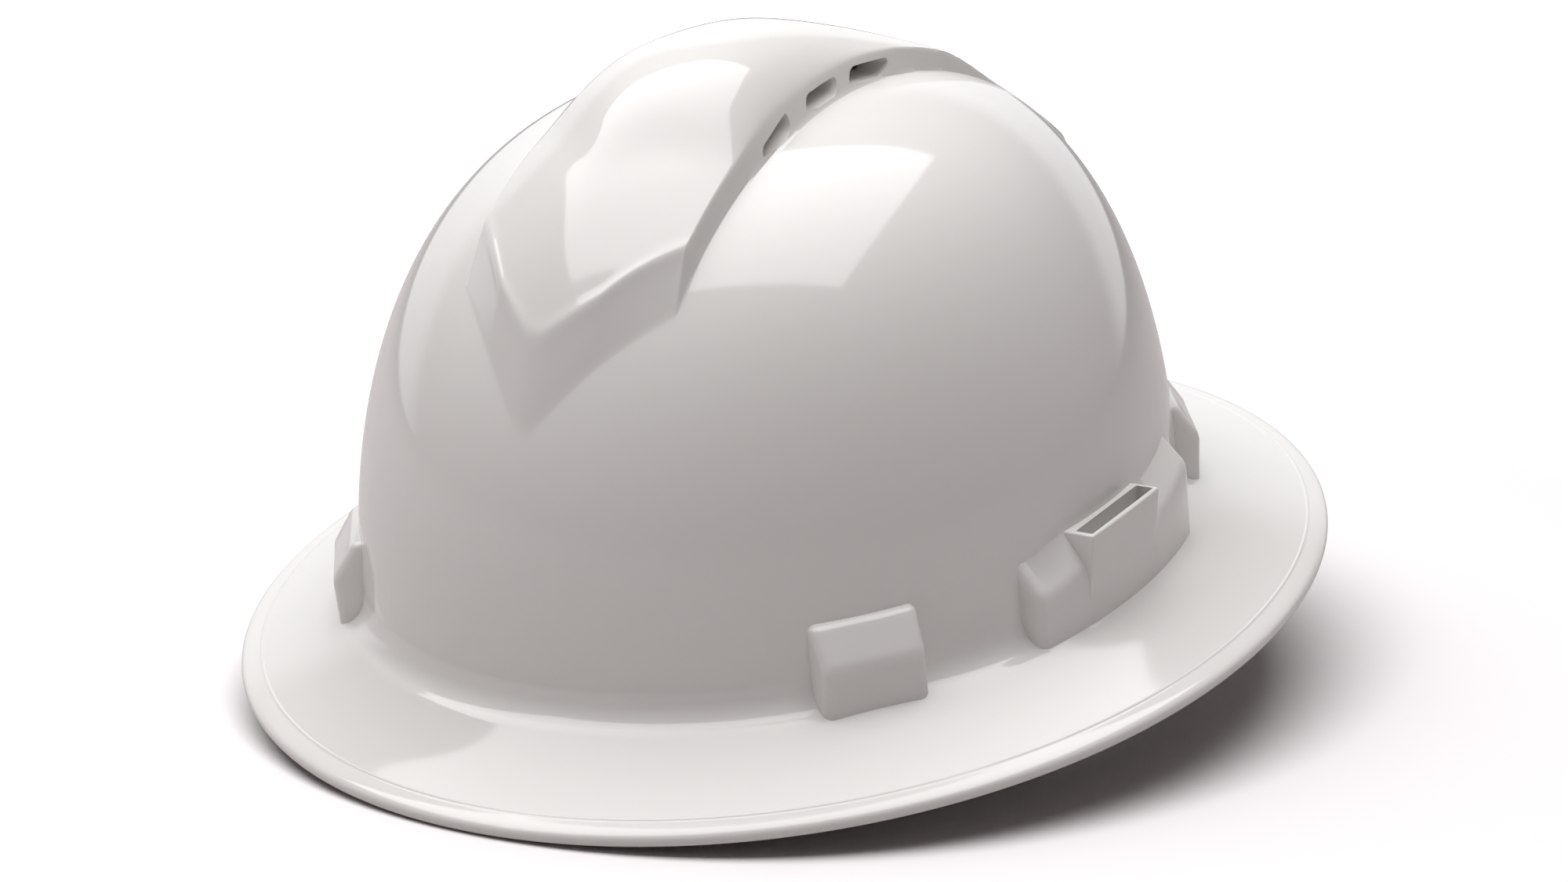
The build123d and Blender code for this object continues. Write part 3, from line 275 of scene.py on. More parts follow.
def ridge_grid(inset):
    """Plan points of the ridge patch; its rows turn from the front's chevron to the back's."""
    front = FRONT_TIP + inset * END_INSET
    back = BACK_TIP - inset * END_INSET
    start, end = front + FRONT_ROWS, back - BACK_ROWS[::-1]
    middle = np.linspace(start[-1], end[0], MIDDLE_ROWS)[1:-1]
    rows = np.concatenate([front - MARGIN_ROWS, start, middle, end, back + MARGIN_ROWS[::-1]])
    mix = ease(np.clip((rows - front) / (back - front), 0, 1))

    def sweep(x):
        bend_front = chevron(x, FRONT_TIP, FRONT_CORNER, FRONT_BOW) - FRONT_TIP
        bend_back = chevron(x, BACK_TIP, BACK_CORNER, BACK_BOW) - BACK_TIP
        return bend_front * (1 - mix) + bend_back * mix

    # the half width where each bent row meets the side line, found by repeating
    w = np.full(rows.shape, 28.0)
    for _ in range(60):
        w = 0.5 * w + 0.5 * (half_width(rows + sweep(w)) - inset)
    middle = [u * (w + EDGE_COLUMNS[0]) for u in np.linspace(0, 1, MIDDLE_COLUMNS)[:-1]]
    half = np.array(middle + [w + d for d in EDGE_COLUMNS])
    x = np.concatenate([-half[:0:-1], half])
    y = rows[None, :] + sweep(x)
    return x.T, y.T


def dome_place(x, y, inset):
    """The foot angle and share of plan points that lie on the dome."""
    z = dome_height(DOME, x, y, inset)
    s = (z - DOME["base"]) / (DOME["rise"] - inset)
    shrink = (1 - np.abs(s) ** DOME["p"]) ** (1 / DOME["q"])
    cos = -(y - DOME["cy"] - DOME["lean"] * s) / ((DOME["a"] - inset) * shrink)
    sin = x / ((DOME["b"] - inset) * shrink * (1 + DOME["egg"] * shrink * cos))
    return np.unwrap(np.arctan2(sin, cos)), s


def dome_rings(phi, s, inset, count, target):
    """Rings from a loop on the dome down to its foot; target is each column's angle there."""
    length = np.interp(s, SHARES, ARCS)
    rings = []
    for j in range(1, count + 1):
        k = j / count
        angle = phi * (1 - ease(k)) + target * ease(k)
        share = np.interp(length * (1 - k) + FOOT_ARC * k, ARCS, SHARES)
        rings.append(np.stack(dome_point(DOME, angle, share, inset), -1))
    return rings


def perimeter(a):
    """The outer loop of a grid, in order."""
    return np.concatenate([a[0, :], a[1:, -1], a[-1, -2::-1], a[-2:0:-1, 0]])


def brim_loop(target, reach=None, inset=None, height=0.0, lift=1.0):
    """A loop of the brim, at a reach out from the dome's foot or an inset in from the brim's edge."""
    c, s = np.cos(target), np.sin(target)
    foot = np.stack([DOME["b"] * s * (1 + DOME["egg"] * c), DOME["cy"] - DOME["a"] * c], -1)
    edge = np.stack([BRIM_B * s * (1 + BRIM_EGG * c), -BRIM_A * c], -1)
    along = edge - foot
    along /= np.linalg.norm(along, axis=1, keepdims=True)
    xy = foot + along * reach if reach is not None else edge - along * inset
    z = np.full(len(target), float(height)) + lift * BRIM_LIFT * s * s
    return np.concatenate([xy, z[:, None]], 1)


def brim_loops(target):
    """The brim's loops: fillet, hollow slope, rolled edge, underside, and up to the inner wall."""
    loops = []
    for k in np.linspace(0, 1, 9)[1:]:
        a = k * math.pi / 2 * ROOT_TURN
        reach, height = ROOT_RADIUS * (1 - math.cos(a)), ROOT_TOP - ROOT_DROP * math.sin(a)
        loops.append(brim_loop(target, reach=reach, height=height, lift=0.1 * reach / FOOT_ARC))
    root, rim = loops[-1], brim_loop(target, inset=SLOPE_INSET, height=SLOPE_HEIGHT)
    for k in np.linspace(0, 1, 22)[1:]:
        slope = root * (1 - k) + rim * k
        slope[:, 2] -= SLOPE_SAG * math.sin(math.pi * k)
        loops.append(slope)
    loops += [brim_loop(target, inset=inset, height=z) for inset, z in EDGE_PROFILE]
    lip, under = loops[-1], brim_loop(target, reach=UNDER_REACH, height=UNDER_HEIGHT, lift=0.1)
    loops += [lip * (1 - k) + under * k for k in np.linspace(0, 1, 14)[1:]]
    loops += [brim_loop(target, reach=reach, height=z, lift=0.0) for reach, z in INNER_PROFILE]
    return loops


def build_shell():
    """Vertices and faces of the bare shell: the outside, the brim and the inside in one skin."""
    verts, faces = [], []

    def add(points):
        start = len(verts)
        verts.extend(map(tuple, points))
        return np.arange(start, start + len(points))

    skins = []
    target = None
    for inset, count in ((0.0, OUTER_RINGS), (WALL, INNER_RINGS)):
        gx, gy = ridge_grid(inset)
        gz = outer_height(gx, gy, inset)
        ids = add(np.stack([gx.ravel(), gy.ravel(), gz.ravel()], -1)).reshape(gx.shape)
        quads = np.stack([ids[:-1, :-1], ids[:-1, 1:], ids[1:, 1:], ids[1:, :-1]], -1).reshape(-1, 4)
        faces += (quads[:, ::-1] if inset else quads).tolist()
        phi, s = dome_place(perimeter(gx), perimeter(gy), inset)
        if target is None:
            # the columns spread more evenly on their way down the dome
            even = phi[0] + TAU * np.arange(len(phi)) / len(phi) * np.sign(phi[-1] - phi[0])
            target = 0.55 * phi + 0.45 * even
        skins.append((perimeter(ids), dome_rings(phi, s, inset, count, target)))

    (previous, outer), (last, inner) = skins
    for loop in outer + brim_loops(target) + inner[::-1]:
        ids = add(loop)
        faces += strip(ids, previous)
        previous = ids
    return verts, faces + strip(last, previous)


# ---------- mesh tools ----------

def linked(obj):
    """Puts an object into the scene."""
    bpy.context.scene.collection.objects.link(obj)
    return obj


def to_object(name, verts, faces, smooth=True):
    """An object from points in the hat's own millimetres, stood up in the shared frame, faces outwards."""
    mesh = bpy.data.meshes.new(name)
    mesh.from_pydata([STAND @ Vector(v) for v in verts], [], faces)
    mesh.update()
    if smooth:
        mesh.polygons.foreach_set("use_smooth", [True] * len(mesh.polygons))
    bm = bmesh.new()
    bm.from_mesh(mesh)
    bmesh.ops.recalc_face_normals(bm, faces=bm.faces)
    bm.to_mesh(mesh)
    bm.free()
    return linked(bpy.data.objects.new(name, mesh))


def strip(a, b):
    """Quads between two closed loops of vertex numbers."""
    return np.stack([a, np.roll(a, -1), np.roll(b, -1), b], -1).tolist()


def ring_faces(rings, size, start=0):
    """Quads between equal rings of vertices, and a cap at each end."""
    ids = start + np.arange(rings * size).reshape(rings, size)
    faces = [quad for a, b in zip(ids, ids[1:]) for quad in strip(a, b)]
    return faces + [ids[0, ::-1].tolist(), ids[-1].tolist()]


def loft(name, loops, smooth=False):
    """A closed solid through equal loops of points."""
    verts = [tuple(p) for loop in loops for p in loop]
    return to_object(name, verts, ring_faces(len(loops), len(loops[0])), smooth)


def apply_all(obj):
    """Puts an object's modifiers into its mesh."""
    deps = bpy.context.evaluated_depsgraph_get()
    mesh = bpy.data.meshes.new_from_object(obj.evaluated_get(deps))
    old = obj.data
    obj.modifiers.clear()
    obj.data = mesh
    bpy.data.meshes.remove(old)


def discard(obj):
    """Removes an object and its mesh."""
    mesh = obj.data
    bpy.data.objects.remove(obj)
    bpy.data.meshes.remove(mesh)


def boolean(obj, other, operation):
    """Joins or cuts an object with another, which is used up."""
    mod = obj.modifiers.new("cut", "BOOLEAN")
    mod.operation, mod.object, mod.solver = operation, other, "EXACT"
    apply_all(obj)
    discard(other)


def bevel(obj, width, segments, angle):
    """Rounds the edges that are sharper than an angle; the width is in millimetres."""
    mod = obj.modifiers.new("bevel", "BEVEL")
    mod.width, mod.segments = width * MM, segments
    mod.limit_method, mod.angle_limit = "ANGLE", math.radians(angle)
    apply_all(obj)


def join(objs, name):
    """One object out of several, which are used up."""
    bm = bmesh.new()
    for o in objs:
        bm.from_mesh(o.data)
    mesh = bpy.data.meshes.new(name)
    bm.to_mesh(mesh)
    bm.free()
    for o in objs:
        discard(o)
    return linked(bpy.data.objects.new(name, mesh))


def soft_edges(obj, angle):
    """Smooth shading with sharp edges kept above an angle."""
    mesh = obj.data
    mesh.polygons.foreach_set("use_smooth", [True] * len(mesh.polygons))
    mesh.set_sharp_from_angle(angle=math.radians(angle))


# ---------- what stands on the shell and what is cut out of it ----------

# Angles of the key pockets from the front; sections of the bosses and pockets, out from the foot and up
KEY_ANGLE_FRONT, KEY_ANGLE_REAR = 48.6, 131.4
BOSS = [(-9, -25), (4.9, -25), (5.1, -11), (6.2, 10.0), (0.2, 19.2), (-9, 19.2)]
POCKET = [(0, -45), (4.8, -45), (4.8, 6.5), (2.4, 9.0), (0, 9.0)]
BOSS_HALF, BOSS_FLARE, BOSS_SHIFT, POCKET_HALF = 12.3, 1.0, 1.0, 9.5

# A side block: three plan points of its face, its inner side, and its shoulder's line, height and slopes
BLOCK_FACE = ((98.3, -48.3), (102.4, -10.0), (96.2, 30.0))
BLOCK_INNER, SHOULDER_X, SHOULDER_Z, SHOULDER_FALL, FRONT_DIP = 83.5, 87.8, 30.6, 0.9, 3.2
SHOULDER_Y, SHOULDER_SLOPE = (-48.3, -31.0, 2.0, 30.0), (1.15, 1.44, 1.4, 0.9)
# The slot's raised mouth and the slot in it: ends along the hat, then (place across, height) from foot to top
MOUTH_Y, MOUTH_INNER, MOUTH_FACE, MOUTH_OUT = (-31.0, 2.0), 86.0, 102.2, ((-2.6, 0.0), (1.35, 40.7))
SLOT_Y, SLOT_INNER, SLOT_OUTER = (-29.7, 0.7), 97.8, ((98.7, 5.0), (102.8, 45.0))

# Vents: place along, height and slope in degrees; stages of the cut and of the duct round it are
# (growth, place across from the ridge's edge), from the inside out
VENTS = ((-38.4, 133.5, 19.0), (-14.3, 136.8, 2.0), (7.2, 136.3, -7.0))
VENT_LONG, VENT_HIGH, VENT_SHEAR = 6.8, 1.4, 0.55
CUT_STAGES = ((-0.6, -14), (-0.6, -7.6), (0.45, -2.3), (0.65, -1.5), (0.95, -0.95), (1.05, 0.7))
DUCT_STAGES = ((0.9, -7.0), (1.9, -1.9))

# The inside up to the middle of the wall: shares of the dome's height, then brim loops (reach, height, lift)
CORE_SHARES = (0.55, 0.4, 0.3, 0.2, 0.12, 0.06)
CORE_LOOPS = (
    (-1.2, 20.0, 0), (-0.2, 17.6, 0), (1.6, 16.2, 0), (5.0, 14.8, 0.1), (14.0, 12.6, 0.3), (14.0, -60.0, 0),
)


def corner_frame(front, side):
    """Matrix of one key pocket: X out, Y up, Z along the foot."""
    angle = math.radians(KEY_ANGLE_FRONT if front else KEY_ANGLE_REAR)
    x = DOME["b"] * math.sin(angle) * (1 + DOME["egg"] * math.cos(angle))
    y = DOME["cy"] - DOME["a"] * math.cos(angle)
    out = Vector((math.sin(angle) / DOME["b"], -math.cos(angle) / DOME["a"], 0)).normalized()
    out.x *= side
    m = Matrix((out, UP, out.cross(UP))).transposed().to_4x4()
    m.translation = (side * x, y, DOME["base"])
    return m


def extruded(name, corner, profile, half, flare=0.0, shift=0.0):
    """A bar along a corner's foot. Flare widens it towards its root and downwards; shift moves it along."""
    def width(x, y):
        down = 0.35 + 0.65 * min(max(14 - y, 0) / 20, 1)
        return half + flare * (0.4 + 0.5 * min(max(6.0 - x, 0), 7)) * down

    def row(end):
        return [corner @ Vector((x, y, shift + end * width(x, y))) for x, y in profile]

    return loft(name, [row(-1), row(1)])


def wall_core():
    """The hat's inside up to the middle of its wall, which trims the blocks."""
    turn = np.linspace(0, TAU, 240, endpoint=False)
    loops = [np.stack(dome_point(DOME, turn, s, WALL / 2), -1) for s in CORE_SHARES]
    loops += [brim_loop(turn, reach=reach, height=height, lift=lift) for reach, height, lift in CORE_LOOPS]
    return loft("core", loops)


def circle_through(p1, p2, p3):
    """Centre and radius of the circle through three points."""
    (x1, y1), (x2, y2), (x3, y3) = p1, p2, p3
    r1, r2, r3 = x1**2 + y1**2, x2**2 + y2**2, x3**2 + y3**2
    d = 2 * (x1 * (y2 - y3) + x2 * (y3 - y1) + x3 * (y1 - y2))
    cx = (r1 * (y2 - y3) + r2 * (y3 - y1) + r3 * (y1 - y2)) / d
    cy = (r1 * (x3 - x2) + r2 * (x1 - x3) + r3 * (x2 - x1)) / d
    return cx, cy, math.hypot(x1 - cx, y1 - cy)


def side_block(side):
    """Block with a curved face and a sloping shoulder, and the raised mouth of its slot."""
    cx, cy, radius = circle_through(*BLOCK_FACE)

    def face(y):
        return cx + math.sqrt(radius**2 - (y - cy) ** 2)

    loops = []
    for y in np.linspace(BLOCK_FACE[0][1], BLOCK_FACE[2][1], 25):
        x = face(y)
        z = SHOULDER_Z + (BLOCK_FACE[1][0] - x) * SHOULDER_FALL - FRONT_DIP * min(max((-34.0 - y) / 10.0, 0), 1)
        top = z + (x - SHOULDER_X) * np.interp(y, SHOULDER_Y, SHOULDER_SLOPE)
        section = ((BLOCK_INNER, 0.0), (x + 0.25, 0.0), (x, z), (SHOULDER_X, top), (BLOCK_INNER, top))
        loops.append([(side * sx, y, sz) for sx, sz in section])
    body = loft("block", loops)
    bevel(body, 2.4, 5, 25)
    # the mouth's outer face leaves the block's face low down and stands off it at the top
    start, end = MOUTH_Y
    plan = [(0.35 * face(y) + 0.65 * MOUTH_FACE, y) for y in np.linspace(start, end, 12)]
    rings = []
    for out, z in MOUTH_OUT:
        ring = [(MOUTH_INNER, start)] + [(x + out, y) for x, y in plan] + [(MOUTH_INNER, end)]
        rings.append([(side * x, y, z) for x, y in ring])
    mouth = loft("mouth", rings)
    bevel(mouth, 0.55, 3, 35)
    boolean(body, mouth, "UNION")
    return body


def slot_cutter(side):
    """The accessory slot, open at its top and narrow at its foot."""
    start, end = SLOT_Y
    rings = []
    for outer, z in SLOT_OUTER:
        plan = ((SLOT_INNER, start), (outer, start), (outer, end), (SLOT_INNER, end))
        rings.append([(side * x, y, z) for x, y in plan])
    slot = loft("slot", rings)
    bevel(slot, 0.4, 2, 35)
    return slot


def vent_piece(name, y, z, slope, side, stages):
    """A rounded slot through the ridge's side wall."""
    c, s = math.cos(math.radians(slope)), math.sin(math.radians(slope))
    edge = float(half_width(y))
    loops = []
    for grow, across in stages:
        long, high = VENT_LONG + grow, VENT_HIGH + grow * 0.75
        r = 0.8 * high
        corners = ((long - r, high - r), (r - long, high - r), (r - long, r - high), (long - r, r - high))
        loop = []
        for quarter, (cx, cy) in enumerate(corners):
            for k in range(6):
                a = math.radians(quarter * 90 + k * 18)
                u, v = cx + r * math.cos(a), cy + r * math.sin(a)
                u += VENT_SHEAR * v
                loop.append((side * (edge + across), y + u * c - v * s, z + u * s + v * c))
        loops.append(loop)
    return loft(name, loops)


def make_shell():
    """The shell with its bosses, blocks, slots, pockets and vents."""
    shell = to_object("shell_body", *build_shell())
    adds, cuts, ducts = [], [], []
    for vent in VENTS:
        for side in (-1, 1):
            cuts.append(vent_piece("vent", *vent, side, CUT_STAGES))
            ducts.append(vent_piece("duct", *vent, side, DUCT_STAGES))
    for side in (-1, 1):
        adds.append(side_block(side))
        cuts.append(slot_cutter(side))
        for front in (True, False):
            corner = corner_frame(front, side)
            shift = side * (BOSS_SHIFT if front else -BOSS_SHIFT)
            boss = extruded("boss", corner, BOSS, BOSS_HALF, BOSS_FLARE, shift)
            bevel(boss, 2.0, 5, 25)
            adds.append(boss)
            cuts.append(extruded("pocket", corner, POCKET, POCKET_HALF))
    blocks = join(adds, "blocks")
    boolean(blocks, wall_core(), "DIFFERENCE")
    boolean(shell, blocks, "UNION")
    boolean(shell, join(ducts, "ducts"), "UNION")
    boolean(shell, join(cuts, "cuts"), "DIFFERENCE")
    soft_edges(shell, 33)
    return shell


# ---------- material tools ----------

def new_material(name, colour, rough, specular=0.5, sheen=0.0, subsurface=0.0):
    """A material with its node tree and its shader node."""
    mat = bpy.data.materials.new(name)
    mat.use_nodes = True
    tree = mat.node_tree
    bsdf = tree.nodes["Principled BSDF"]
    values = {
        "Base Color": (*colour, 1),
        "Roughness": rough,
        "Specular IOR Level": specular,
        "Sheen Weight": sheen,
        "Sheen Roughness": 0.5,
        "Subsurface Weight": subsurface,
        "Subsurface Radius": (1.0, 0.8, 0.6),
        "Subsurface Scale": 0.0015,
    }
    for key, value in values.items():
        bsdf.inputs[key].default_value = value
    return mat, tree, bsdf


def coords(tree, scale=(1, 1, 1), source="Object"):
    """Texture coordinates, scaled."""
    c = tree.nodes.new("ShaderNodeTexCoord")
    m = tree.nodes.new("ShaderNodeMapping")
    m.inputs["Scale"].default_value = scale
    tree.links.new(c.outputs[source], m.inputs["Vector"])
    return m.outputs["Vector"]


def texture(tree, kind, vector, **values):
    """A texture laid on coordinates; the values are its node's options or inputs."""
    n = tree.nodes.new("ShaderNodeTex" + kind)
    for key, value in values.items():
        if hasattr(n, key):
            setattr(n, key, value)
        else:
            n.inputs[key].default_value = value
    tree.links.new(vector, n.inputs["Vector"])
    return n.outputs["Distance" if kind == "Voronoi" else "Fac"]


def tint(tree, bsdf, source, stops):
    """Colours a surface by a source, through (place, colour) stops."""
    r = tree.nodes.new("ShaderNodeValToRGB")
    elements = r.color_ramp.elements
    elements[0].position, elements[0].color = stops[0][0], (*stops[0][1], 1)
    elements[1].position, elements[1].color = stops[-1][0], (*stops[-1][1], 1)
    for place, colour in stops[1:-1]:
        elements.new(place).color = (*colour, 1)
    tree.links.new(source, r.inputs["Fac"])
    tree.links.new(r.outputs["Color"], bsdf.inputs["Base Color"])


def spread(tree, source, low, high, lo=0.3, hi=0.7, easing="LINEAR"):
    """Maps a source from lo and hi to low and high."""
    r = tree.nodes.new("ShaderNodeMapRange")
    r.interpolation_type = easing
    for key, value in zip(("From Min", "From Max", "To Min", "To Max"), (lo, hi, low, high)):
        r.inputs[key].default_value = value
    tree.links.new(source, r.inputs["Value"])
    return r.outputs["Result"]


def maths(tree, operation, a, b):
    """The result of a sum on two sockets."""
    n = tree.nodes.new("ShaderNodeMath")
    n.operation = operation
    tree.links.new(a, n.inputs[0])
    tree.links.new(b, n.inputs[1])
    return n.outputs[0]


def mix_colours(tree, factor, a, b):
    """Colour a where the factor is 0 and b where it is 1; each is a colour or a socket."""
    n = tree.nodes.new("ShaderNodeMix")
    n.data_type = "RGBA"
    tree.links.new(factor, n.inputs[0])
    for value, socket in ((a, n.inputs[6]), (b, n.inputs[7])):
        if isinstance(value, tuple):
            socket.default_value = (*value, 1)
        else:
            tree.links.new(value, socket)
    return n.outputs[2]


def bump(tree, bsdf, height, strength, distance, before=None):
    """Relief on a surface, on top of the relief before it."""
    b = tree.nodes.new("ShaderNodeBump")
    b.inputs["Strength"].default_value = strength
    b.inputs["Distance"].default_value = distance
    tree.links.new(height, b.inputs["Height"])
    if before is not None:
        tree.links.new(before, b.inputs["Normal"])
    tree.links.new(b.outputs["Normal"], bsdf.inputs["Normal"])
    return b.outputs["Normal"]


# ---------- materials ----------

def moulded(name, colour, rough, grain=0.9, depth=0.00004):
    """Moulded plastic: a slight mottling of colour, uneven gloss, a fine grain, and faint scuffs."""
    mat, tree, bsdf = new_material(name, colour, rough)
    v = coords(tree)
    big = texture(tree, "Noise", v, Scale=22.0, Detail=3.0, Roughness=0.5)
    stops = [(0.3, tuple(c * 0.97 for c in colour)), (0.7, tuple(c * 1.03 for c in colour))]
    tint(tree, bsdf, big, stops)
    fine = texture(tree, "Noise", v, Scale=1400.0 * grain, Detail=3.0, Roughness=0.6)
    patch = texture(tree, "Noise", v, Scale=75.0, Detail=6.0, Roughness=0.65)
    tree.links.new(spread(tree, patch, rough * 0.8, rough * 1.25), bsdf.inputs["Roughness"])
    normal = bump(tree, bsdf, fine, 0.5, depth)
    lines = texture(tree, "Noise", coords(tree, (30, 260, 90)), Scale=3.0, Detail=8.0, Roughness=0.75)
    bump(tree, bsdf, spread(tree, lines, 0.0, 1.0, 0.62, 0.7), 0.12, 0.00003, normal)
    return mat


def shell_plastic():
    """Glossy white moulded shell: clear reflections, barely uneven, with faint flow marks."""
    mat, tree, bsdf = new_material("shell_white", (0.81, 0.80, 0.785), 0.14, subsurface=0.06)
    v = coords(tree)
    big = texture(tree, "Noise", v, Scale=9.0, Detail=2.0, Roughness=0.4)
    stops = [(0.3, (0.80, 0.79, 0.772)), (0.7, (0.825, 0.815, 0.802))]
    tint(tree, bsdf, big, stops)
    patch = texture(tree, "Noise", v, Scale=60.0, Detail=6.0, Roughness=0.6)
    tree.links.new(spread(tree, patch, 0.07, 0.1), bsdf.inputs["Roughness"])
    peel = texture(tree, "Noise", v, Scale=130.0, Detail=2.0, Roughness=0.5)
    bump(tree, bsdf, peel, 0.05, 0.00015)
    return mat


def webbing():
    """Woven nylon: a herringbone of yarns across and along the strap, by the strap's own map."""
    mat, tree, bsdf = new_material("webbing_black", (0.035, 0.036, 0.04), 0.62, 0.35, 0.35)
    v = coords(tree, source="UV")
    along, across, rib = (
        texture(tree, "Wave", v, wave_type="BANDS", bands_direction=way, Scale=scale, Distortion=bent)
        for way, scale, bent in (("Y", 520.0, 0.4), ("DIAGONAL", 330.0, 0.3), ("X", 300.0, 0.2))
    )
    weave = maths(tree, "ADD", maths(tree, "MULTIPLY", along, across), rib)
    stops = [(0.1, (0.016, 0.016, 0.018)), (0.8, (0.075, 0.077, 0.085))]
    tint(tree, bsdf, weave, stops)
    bump(tree, bsdf, weave, 0.6, 0.00018)
    return mat


def knit():
    """Perforated knit over foam."""
    mat, tree, bsdf = new_material("pad_knit", (0.05, 0.052, 0.058), 0.9, 0.25, 0.5)
    v = coords(tree)
    cells = texture(tree, "Voronoi", v, Scale=620.0, Randomness=0.25)
    fuzz = texture(tree, "Noise", v, Scale=2600.0, Detail=3.0)
    stops = [(0.05, (0.01, 0.01, 0.012)), (0.35, (0.05, 0.052, 0.058)), (0.8, (0.085, 0.088, 0.096))]
    tint(tree, bsdf, cells, stops)
    normal = bump(tree, bsdf, cells, 0.8, 0.0004)
    bump(tree, bsdf, fuzz, 0.3, 0.0001, normal)
    return mat


def thread():
    """Twisted grey sewing thread."""
    mat, tree, bsdf = new_material("thread_grey", (0.3, 0.3, 0.31), 0.7, 0.3, 0.3)
    twist = texture(tree, "Wave", coords(tree), wave_type="BANDS", bands_direction="DIAGONAL", Scale=1500.0)
    stops = [(0.2, (0.2, 0.2, 0.21)), (0.8, (0.38, 0.38, 0.4))]
    tint(tree, bsdf, twist, stops)
    return mat


def steel():
    """Zinc plated steel with turning marks."""
    mat, tree, bsdf = new_material("screw_zinc", (0.62, 0.62, 0.63), 0.32)
    bsdf.inputs["Metallic"].default_value = 1.0
    lines = texture(tree, "Noise", coords(tree, (1, 1, 30)), Scale=220.0, Detail=4.0)
    tree.links.new(spread(tree, lines, 0.24, 0.45), bsdf.inputs["Roughness"])
    bump(tree, bsdf, lines, 0.15, 0.00003)
    return mat


MATS = {
    "shell": shell_plastic(),
    "band": moulded("band_black", (0.034, 0.034, 0.036), 0.42),
    "key": moulded("key_black", (0.045, 0.045, 0.048), 0.38, 1.3),
    "arm": moulded("arm_black", (0.036, 0.036, 0.039), 0.36, 1.1),
    "ratchet": moulded("ratchet_black", (0.03, 0.03, 0.032), 0.5, 0.55, depth=0.00012),
    "knob": moulded("knob_black", (0.038, 0.038, 0.04), 0.55, 0.45, depth=0.00016),
    "gear": moulded("acetal_white", (0.72, 0.71, 0.68), 0.35, 1.2),
    "webbing": webbing(),
    "knit": knit(),
    "thread": thread(),
    "steel": steel(),
}
# the solids that are shown as they are
NODE_MATS = {
    "band": ("headband",),
    "key": ("key_front_left", "key_front_right", "key_rear_left", "key_rear_right", "arm_rivets"),
    "ratchet": ("ratchet_base", "ratchet_cover"),
    "knob": ("knob",),
    "gear": ("pinion", "pawl_disc", "rack_left", "rack_right"),
    "steel": ("knob_screw",),
}


def paint(obj, key):
    """Gives an object one of the materials."""
    obj.data.materials.clear()
    obj.data.materials.append(MATS[key])


for key, names in NODE_MATS.items():
    for name in names:
        paint(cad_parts[name], key)


# ---------- shell ----------

shell = make_shell()
paint(shell, "shell")
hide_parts("shell")
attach(shell, "hat")


# ---------- webbing crown straps ----------

STRAP_POWER = 2.3
STRAP_WIDTH, STRAP_THICK = 19.0, 1.15
STRAP_INSIDE, STRAP_START = 6.2, 24.1
STRAP_STEPS = 90
SEAM_RUN, SEAM_GAP, SEAM_LIFT, THREAD_RADIUS = 1.7, 2.6, 0.66, 0.2
SEAM_PLACES = (-7.6, -2.6, 2.6, 7.6)
SEAM_START, SEAM_END = 10.0, 34.0


def strap_line(side, apex):
    """Rows along one crown strap: its centre, the way across it and the way along it."""
    ends = []
    for front, flank in ((True, side), (False, -side)):
        m = corner_frame(front, flank)
        out = m.to_3x3() @ Vector((1, 0, 0))
        across = m.to_3x3() @ Vector((0, 0, 1))
        foot = m.translation - out * STRAP_INSIDE
        ends.append((Vector((foot.x, foot.y, STRAP_START)), across * (1 if front else -1) * flank))
    (start, sa), (end, ea) = ends
    if sa.dot(ea) < 0:
        ea = -ea
    centre, half = (start + end) / 2, (start - end) / 2
    rise = apex - start.z

    def arch(turn):
        c, s = math.cos(turn), math.sin(turn)
        reach = math.copysign(abs(c) ** (2 / STRAP_POWER), c)
        return centre + half * reach + Vector((0, 0, rise * s ** (2 / STRAP_POWER)))

    rows = [(start - UP * d, sa, UP) for d in (6.0, 4.0, 2.0, 0.0)]
    for k in range(1, STRAP_STEPS):
        # finer steps near the ends, where the arch turns
        share = k / STRAP_STEPS
        turn = math.pi * (share - 0.09 * math.sin(TAU * share))
        along = (arch(turn + 0.004) - arch(turn - 0.004)).normalized()
        mix = (1 - math.cos(turn)) / 2
        across = sa * (1 - mix) + ea * mix
        across = (across - along * across.dot(along)).normalized()
        rows.append((arch(turn), across, along))
    rows += [(end - UP * d, ea, -UP) for d in (0.0, 2.0, 4.0, 6.0)]
    return rows


def strap_section():
    """A strap's section: round edges, and faces drawn in between the ribs of its weave."""
    r = STRAP_THICK / 2
    edge = STRAP_WIDTH / 2 - r
    turns = [-math.pi / 2 + math.pi * k / 8 for k in range(9)]
    bend = [(edge + r * math.cos(a), r * math.sin(a)) for a in turns]
    places = [edge * (1 - 2 * k / 12) for k in range(1, 12)]
    face = [(u, r * (1 - 0.18 * math.cos(u * 1.3) ** 2)) for u in places]
    return bend + face + [(-u, -v) for u, v in bend + face]


def strap_mesh(name, rows):
    """A strap along its rows, with a map in metres of the strap laid flat."""
    section = strap_section()
    loops, uvs = [], []
    length, last = 0.0, None
    for place, across, along in rows:
        normal = along.cross(across)
        length += (place - last).length if last is not None else 0.0
        last = place
        loops.append([place + across * u + normal * v for u, v in section])
        uvs += [(u * MM, length * MM) for u, v in section]
    obj = loft(name, loops, True)
    layer = obj.data.uv_layers.new(name="UVMap")
    for loop in obj.data.loops:
        layer.data[loop.index].uv = uvs[loop.vertex_index]
    return obj


